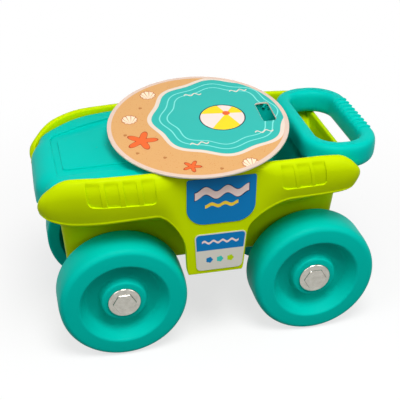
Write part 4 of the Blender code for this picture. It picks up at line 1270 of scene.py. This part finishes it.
for end, x in AXLE_X.items():
    for hand, side in HANDS.items():
        builder = bmesh.new()
        add_shell(builder, [[(x + px, side * (CAP_BACK_Y + py), WHEEL_RADIUS + pz) for px, py, pz in ring]
                            for ring in cap_rings()])
        cap = mesh_piece(f"{end}_{hand}_cap", builder, CAP_BRIGHT, 30.0)
        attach(cap, f"{end}_axle")
        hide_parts(f"cap_{end}_{hand}")
print("cap faces", len(cap.data.polygons))

# %% [markdown]
# ## Printed card
#
# A round card lies on the rails. Its print is a plain beach scene: sand, a bay with foam, a ball, starfish
# and shells. Every shape of the print is a small formula on Object coordinates: a soft step turns the
# distance to an edge into a mask, and each mask lays one colour over the last. No picture file is needed,
# and the print is sharp at any size.


# %% Print helpers
def soft_inside(distance, width=0.0003):
    """1 where the distance is above zero, with a soft edge."""
    return calc(distance.tree, "MULTIPLY_ADD", distance, 1.0 / width, 0.5, clamp=True)


def lay(colour, layers):
    """Lay inks over a colour, each where its distance is above zero."""
    for distance, ink, *width in layers:
        colour = blend_colours(distance.tree, soft_inside(distance, *width), colour, ink)
    return colour


def polar(u, v, place):
    """Distance and angle from a place in the print."""
    du, dv = u - place[0], v - place[1]
    return (du * du + dv * dv).math("SQRT"), dv.math("ARCTAN2", du)


def lobed(u, v, place, radius, depth, lobes, turn=0.0):
    """Signed distance into a round form with lobes, such as a starfish."""
    reach, angle = polar(u, v, place)
    wave = angle.math("MULTIPLY_ADD", float(lobes), turn).math("COSINE")
    return wave.math("MULTIPLY_ADD", depth, radius) - reach


def wave_mark(u, v, place, length, swing, thickness, waves):
    """Signed distance into a short wavy stroke."""
    du = u - place[0]
    bend = (du * (2.0 * math.pi * waves / length)).math("SINE") * swing
    across = 0.5 * thickness - abs(v - place[1] - bend)
    return across.math("MINIMUM", 0.5 * length - abs(du))


def printed(name, roughness):
    """A print on film or board: returns the material, its tree and the socket for its colour."""
    values = {"Drift": 0.025, "Roughness": roughness, "Grain Size": 0.0005, "Grain Depth": 0.03}
    material, node, shader = group_material(name, GRAIN, values, 0.12, 0.0002)
    material.node_tree.links.new(node.outputs["Colour"], shader.inputs["Base Color"])
    shader.inputs["Specular IOR Level"].default_value = 0.16
    return material, material.node_tree, node.inputs["Colour"]


# %% Card print
CARD_RADIUS = 0.0830
CARD_THICKNESS = 0.0018
CARD_PLACE = Vector((-0.0023, -0.0112, 0.20234))
CARD_TILT = math.radians(7.0)
CARD_LEAN = math.radians(-2.8)
SAND = paint(218, 166, 106)
SEA = paint(48, 180, 170)
FOAM = paint(228, 212, 196)
BORDER = paint(222, 196, 180)
BALL_PINK = paint(249, 220, 212)
BALL_YELLOW = paint(252, 214, 40)
OUTLINE = paint(28, 60, 70)
STAR_ORANGE = paint(229, 104, 48)
STAR_EDGE = paint(176, 66, 30)
SHELL_PALE = paint(252, 226, 196)
SHELL_LINE = paint(186, 112, 66)
SAND_SPECK = paint(210, 143, 79)
SEA_LIGHT = paint(126, 223, 213)
PEBBLE = paint(186, 120, 64)
BALL = (0.024, 0.004)
BALL_POLE = (0.029, 0.010)
BALL_RADIUS = 0.0203
SHELL_RADIUS = 0.0075
SHELL_RIM = 0.0008
BORDER_REACH = 0.0792
STARS = (((-0.055, -0.016), 0.0105, 0.4), ((-0.020, -0.064), 0.0062, 1.4))
SHELLS = ((-0.060, 0.020), (-0.036, 0.058), (0.030, -0.071))
PEBBLES = ((-0.068, -0.004), (-0.047, 0.037), (-0.040, -0.046), (-0.062, -0.034), (0.004, -0.073))
RIPPLES = ((0.050, 0.046), (0.006, 0.049), (0.055, -0.027), (-0.006, -0.032))


def card_print():
    material, tree, colour_in = printed("beach_print", 0.42)
    flat = add_node(tree, "ShaderNodeMapping", {
        "Location": CARD_PLACE - MIDDLE, "Rotation": (CARD_TILT, CARD_LEAN, 0.0),
        "Vector": object_place(tree),
    }, vector_type="TEXTURE")
    u, v, _ = axes_of(tree, flat)
    bay = lobed(u, v, (0.022, 0.009), 0.0605, 0.0022, 8, 0.6)
    speck = noise(tree, object_place(tree), 900.0) - 0.66
    layers = [(speck, SAND_SPECK, 0.05), (bay + 0.0040, FOAM), (bay, SEA)]
    layers += [(0.0006 - abs(bay - depth), SEA_LIGHT) for depth in (0.0075, 0.0145)]
    layers += [(wave_mark(u, v, place, 0.017, 0.0016, 0.0016, 2), FOAM) for place in RIPPLES]
    reach, _ = polar(u, v, BALL)
    on_ball = BALL_RADIUS - reach
    pole_reach, pole_angle = polar(u, v, BALL_POLE)
    stripe = pole_angle.math("MULTIPLY_ADD", 3.0, 0.5).math("SINE") * pole_reach
    layers += [(0.0215 - reach, OUTLINE), (on_ball, BALL_PINK),
               (stripe.math("MINIMUM", on_ball), BALL_YELLOW), (0.0035 - pole_reach, STAR_ORANGE)]
    for place, size, turn in STARS:
        star = lobed(u, v, place, size, 0.42 * size, 5, turn)
        layers += [(star, STAR_EDGE), (star - 0.0012, STAR_ORANGE)]
    for place in SHELLS:
        shell = lobed(u, v, place, SHELL_RADIUS, 0.0004, 11)
        inner = shell - SHELL_RIM
        _, hinge_angle = polar(u, v, (place[0], place[1] - SHELL_RADIUS))
        rays = 0.25 - abs((hinge_angle * 9.0).math("SINE"))
        rib = (rays * 0.001).math("MINIMUM", inner)
        layers += [(shell, SHELL_LINE), (inner, SHELL_PALE), (rib, SHELL_LINE, 0.0002)]
    layers += [(lobed(u, v, place, 0.0016, 0.0002, 3), PEBBLE) for place in PEBBLES]
    layers.append((polar(u, v, (0.0, 0.0))[0] - BORDER_REACH, BORDER))
    link_or_set(tree, colour_in, lay(SAND, layers))
    return material


CARD_PRINT = card_print()
CARD_BOARD = moulded("pale_card_board", paint(226, 214, 198), 0.75, drift=0.06, grain=0.0004)
print("card print nodes", len(CARD_PRINT.node_tree.nodes))

# %% [markdown]
# The card itself is a disc with a long slot. Both outlines get a small round edge, and the face between
# them is filled, so the slot is a real hole.

# %% Card
SLOT = (0.0653, 0.0040, 0.0126, 0.0312)
SLOT_CORNER = 0.0030
CARD_STEPS = 240
CARD_EDGE = 0.0003


def card_outlines(inset):
    """The rim drawn in by an inset, and the slot opened by the same amount."""
    radius = CARD_RADIUS - inset
    rim = [(radius * math.cos(turn), radius * math.sin(turn)) for turn in full_turn(CARD_STEPS)]
    x, y, width, length = SLOT
    slot = round_rectangle(x - 0.5 * width - inset, x + 0.5 * width + inset, y - 0.5 * length - inset,
                           y + 0.5 * length + inset, (SLOT_CORNER + inset,) * 4)
    return rim, slot


def make_card():
    builder = bmesh.new()
    turn = Matrix.Rotation(CARD_LEAN, 4, "Y") @ Matrix.Rotation(CARD_TILT, 4, "X")
    turn = Matrix.Translation(CARD_PLACE) @ turn
    levels = (
        (CARD_EDGE, 0.0), (0.0, CARD_EDGE),
        (0.0, CARD_THICKNESS - CARD_EDGE), (CARD_EDGE, CARD_THICKNESS),
    )
    loops = []
    for inset, height in levels:
        loops.append([
            [builder.verts.new(turn @ Vector((a, b, height))) for a, b in line]
            for line in card_outlines(inset)
        ])
    for low, high in zip(loops, loops[1:]):
        for lower, upper in zip(low, high):
            count = len(lower)
            for step in range(count):
                after = (step + 1) % count
                builder.faces.new((lower[step], lower[after], upper[after], upper[step]))
    for level in (loops[0], loops[-1]):
        edges = [builder.edges.get(pair) for line in level for pair in zip(line, line[1:] + line[:1])]
        bmesh.ops.triangle_fill(builder, use_beauty=True, use_dissolve=False, edges=edges)
    return mesh_piece("round_card", builder, CARD_BOARD, 30.0)


card = make_card()
card.data.materials.append(CARD_PRINT)
for face in card.data.polygons:
    face.material_index = 1 if face.normal.z > 0.9 else 0
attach(card, "card")
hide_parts("card_disc")
print("card faces", len(card.data.polygons))

# %% [markdown]
# ## Labels
#
# Two film labels lie on the flat skirt of the near side. The prints are plain bands and dots in the
# colours of the toy. Each film has round corners, and the lower one narrows downwards.

# %% Label prints
LABEL_BLUE = paint(0, 122, 188)
LABEL_NAVY = paint(10, 40, 84)
LABEL_PALE = paint(247, 222, 214)
LABEL_YELLOW = paint(250, 214, 60)
LABEL_GREY = paint(222, 220, 208)
LABEL_TEAL = paint(60, 203, 192)
LABEL_LIME = paint(186, 217, 0)
LABEL_FACE = -0.0809
LABEL_FILM = 0.0004
UPPER_LABEL = (-0.0279, 0.0345, 0.1387, 0.1850)
UPPER_CORNERS = (0.0170, 0.0170, 0.0020, 0.0020)
LOWER_LABEL = (-0.0193, 0.0258, 0.0890, 0.1282)
LOWER_CORNER = 0.0045
LOWER_SPREAD = (-0.0025, 0.0035)
LOWER_BORDER = 0.0010


def upper_print():
    material, tree, colour_in = printed("wave_label", 0.40)
    x, _, z = axes_of(tree, object_place(tree))
    strokes = (
        ((0.0022, 0.1705), 0.0500, 0.0026, 0.0090, LABEL_NAVY),
        ((0.0022, 0.1705), 0.0486, 0.0026, 0.0074, LABEL_PALE),
        ((0.0022, 0.1580), 0.0300, 0.0012, 0.0034, LABEL_YELLOW),
    )
    layers = [(wave_mark(x, z, *sizes, 2.5), ink) for *sizes, ink in strokes]
    link_or_set(tree, colour_in, lay(LABEL_BLUE, layers))
    return material


def lower_print():
    material, tree, colour_in = printed("dot_label", 0.42)
    x, _, z = axes_of(tree, object_place(tree))
    layers = [(z - 0.1105, LABEL_BLUE)]
    for number, ink in enumerate((LABEL_BLUE, LABEL_TEAL, LABEL_LIME)):
        layers.append((lobed(x, z, (-0.0079 + 0.0098 * number, 0.1000), 0.0030, 0.0003, 5), ink))
    layers.append((wave_mark(x, z, (0.0019, 0.1192), 0.0340, 0.0012, 0.0022, 4), LABEL_PALE))
    left, right, low, high = LOWER_LABEL
    share = (z - low).math("DIVIDE", high - low) - 0.5
    to_left = x - share.math("MULTIPLY_ADD", LOWER_SPREAD[0], left - MIDDLE.x)
    to_right = share.math("MULTIPLY_ADD", LOWER_SPREAD[1], right - MIDDLE.x) - x
    to_end = (z - low).math("MINIMUM", high - z)
    across, along = [
        (LOWER_CORNER - gap).math("MAXIMUM", 0.0) for gap in (to_left.math("MINIMUM", to_right), to_end)
    ]
    reach = (across * across + along * along).math("SQRT")
    layers.append((reach - (LOWER_CORNER - LOWER_BORDER), LABEL_GREY))
    link_or_set(tree, colour_in, lay(LABEL_GREY, layers))
    return material


def lower_outline():
    """A rectangle with round corners whose sides lean outwards to the top."""
    left, right, low, high = LOWER_LABEL
    outline = []
    for x, z in round_rectangle(left, right, low, high, (LOWER_CORNER,) * 4):
        lean = LOWER_SPREAD[0] + (LOWER_SPREAD[1] - LOWER_SPREAD[0]) * (x - left) / (right - left)
        outline.append((x + ((z - low) / (high - low) - 0.5) * lean, z))
    return outline


# %% Label films
def film_label(name, node, outline, material):
    """A thin film on the flat skirt, in place of the CAD plate."""
    builder = bmesh.new()
    add_shell(builder, [[(x, y, z) for x, z in outline] for y in (LABEL_FACE, LABEL_FACE + LABEL_FILM)])
    piece = mesh_piece(name, builder, material, 30.0)
    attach(piece, "chassis")
    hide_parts(node)
    print(name, "faces", len(piece.data.polygons))


film_label("upper_label", "label_upper", round_rectangle(*UPPER_LABEL, UPPER_CORNERS), upper_print())
film_label("lower_label", "label_lower", lower_outline(), lower_print())
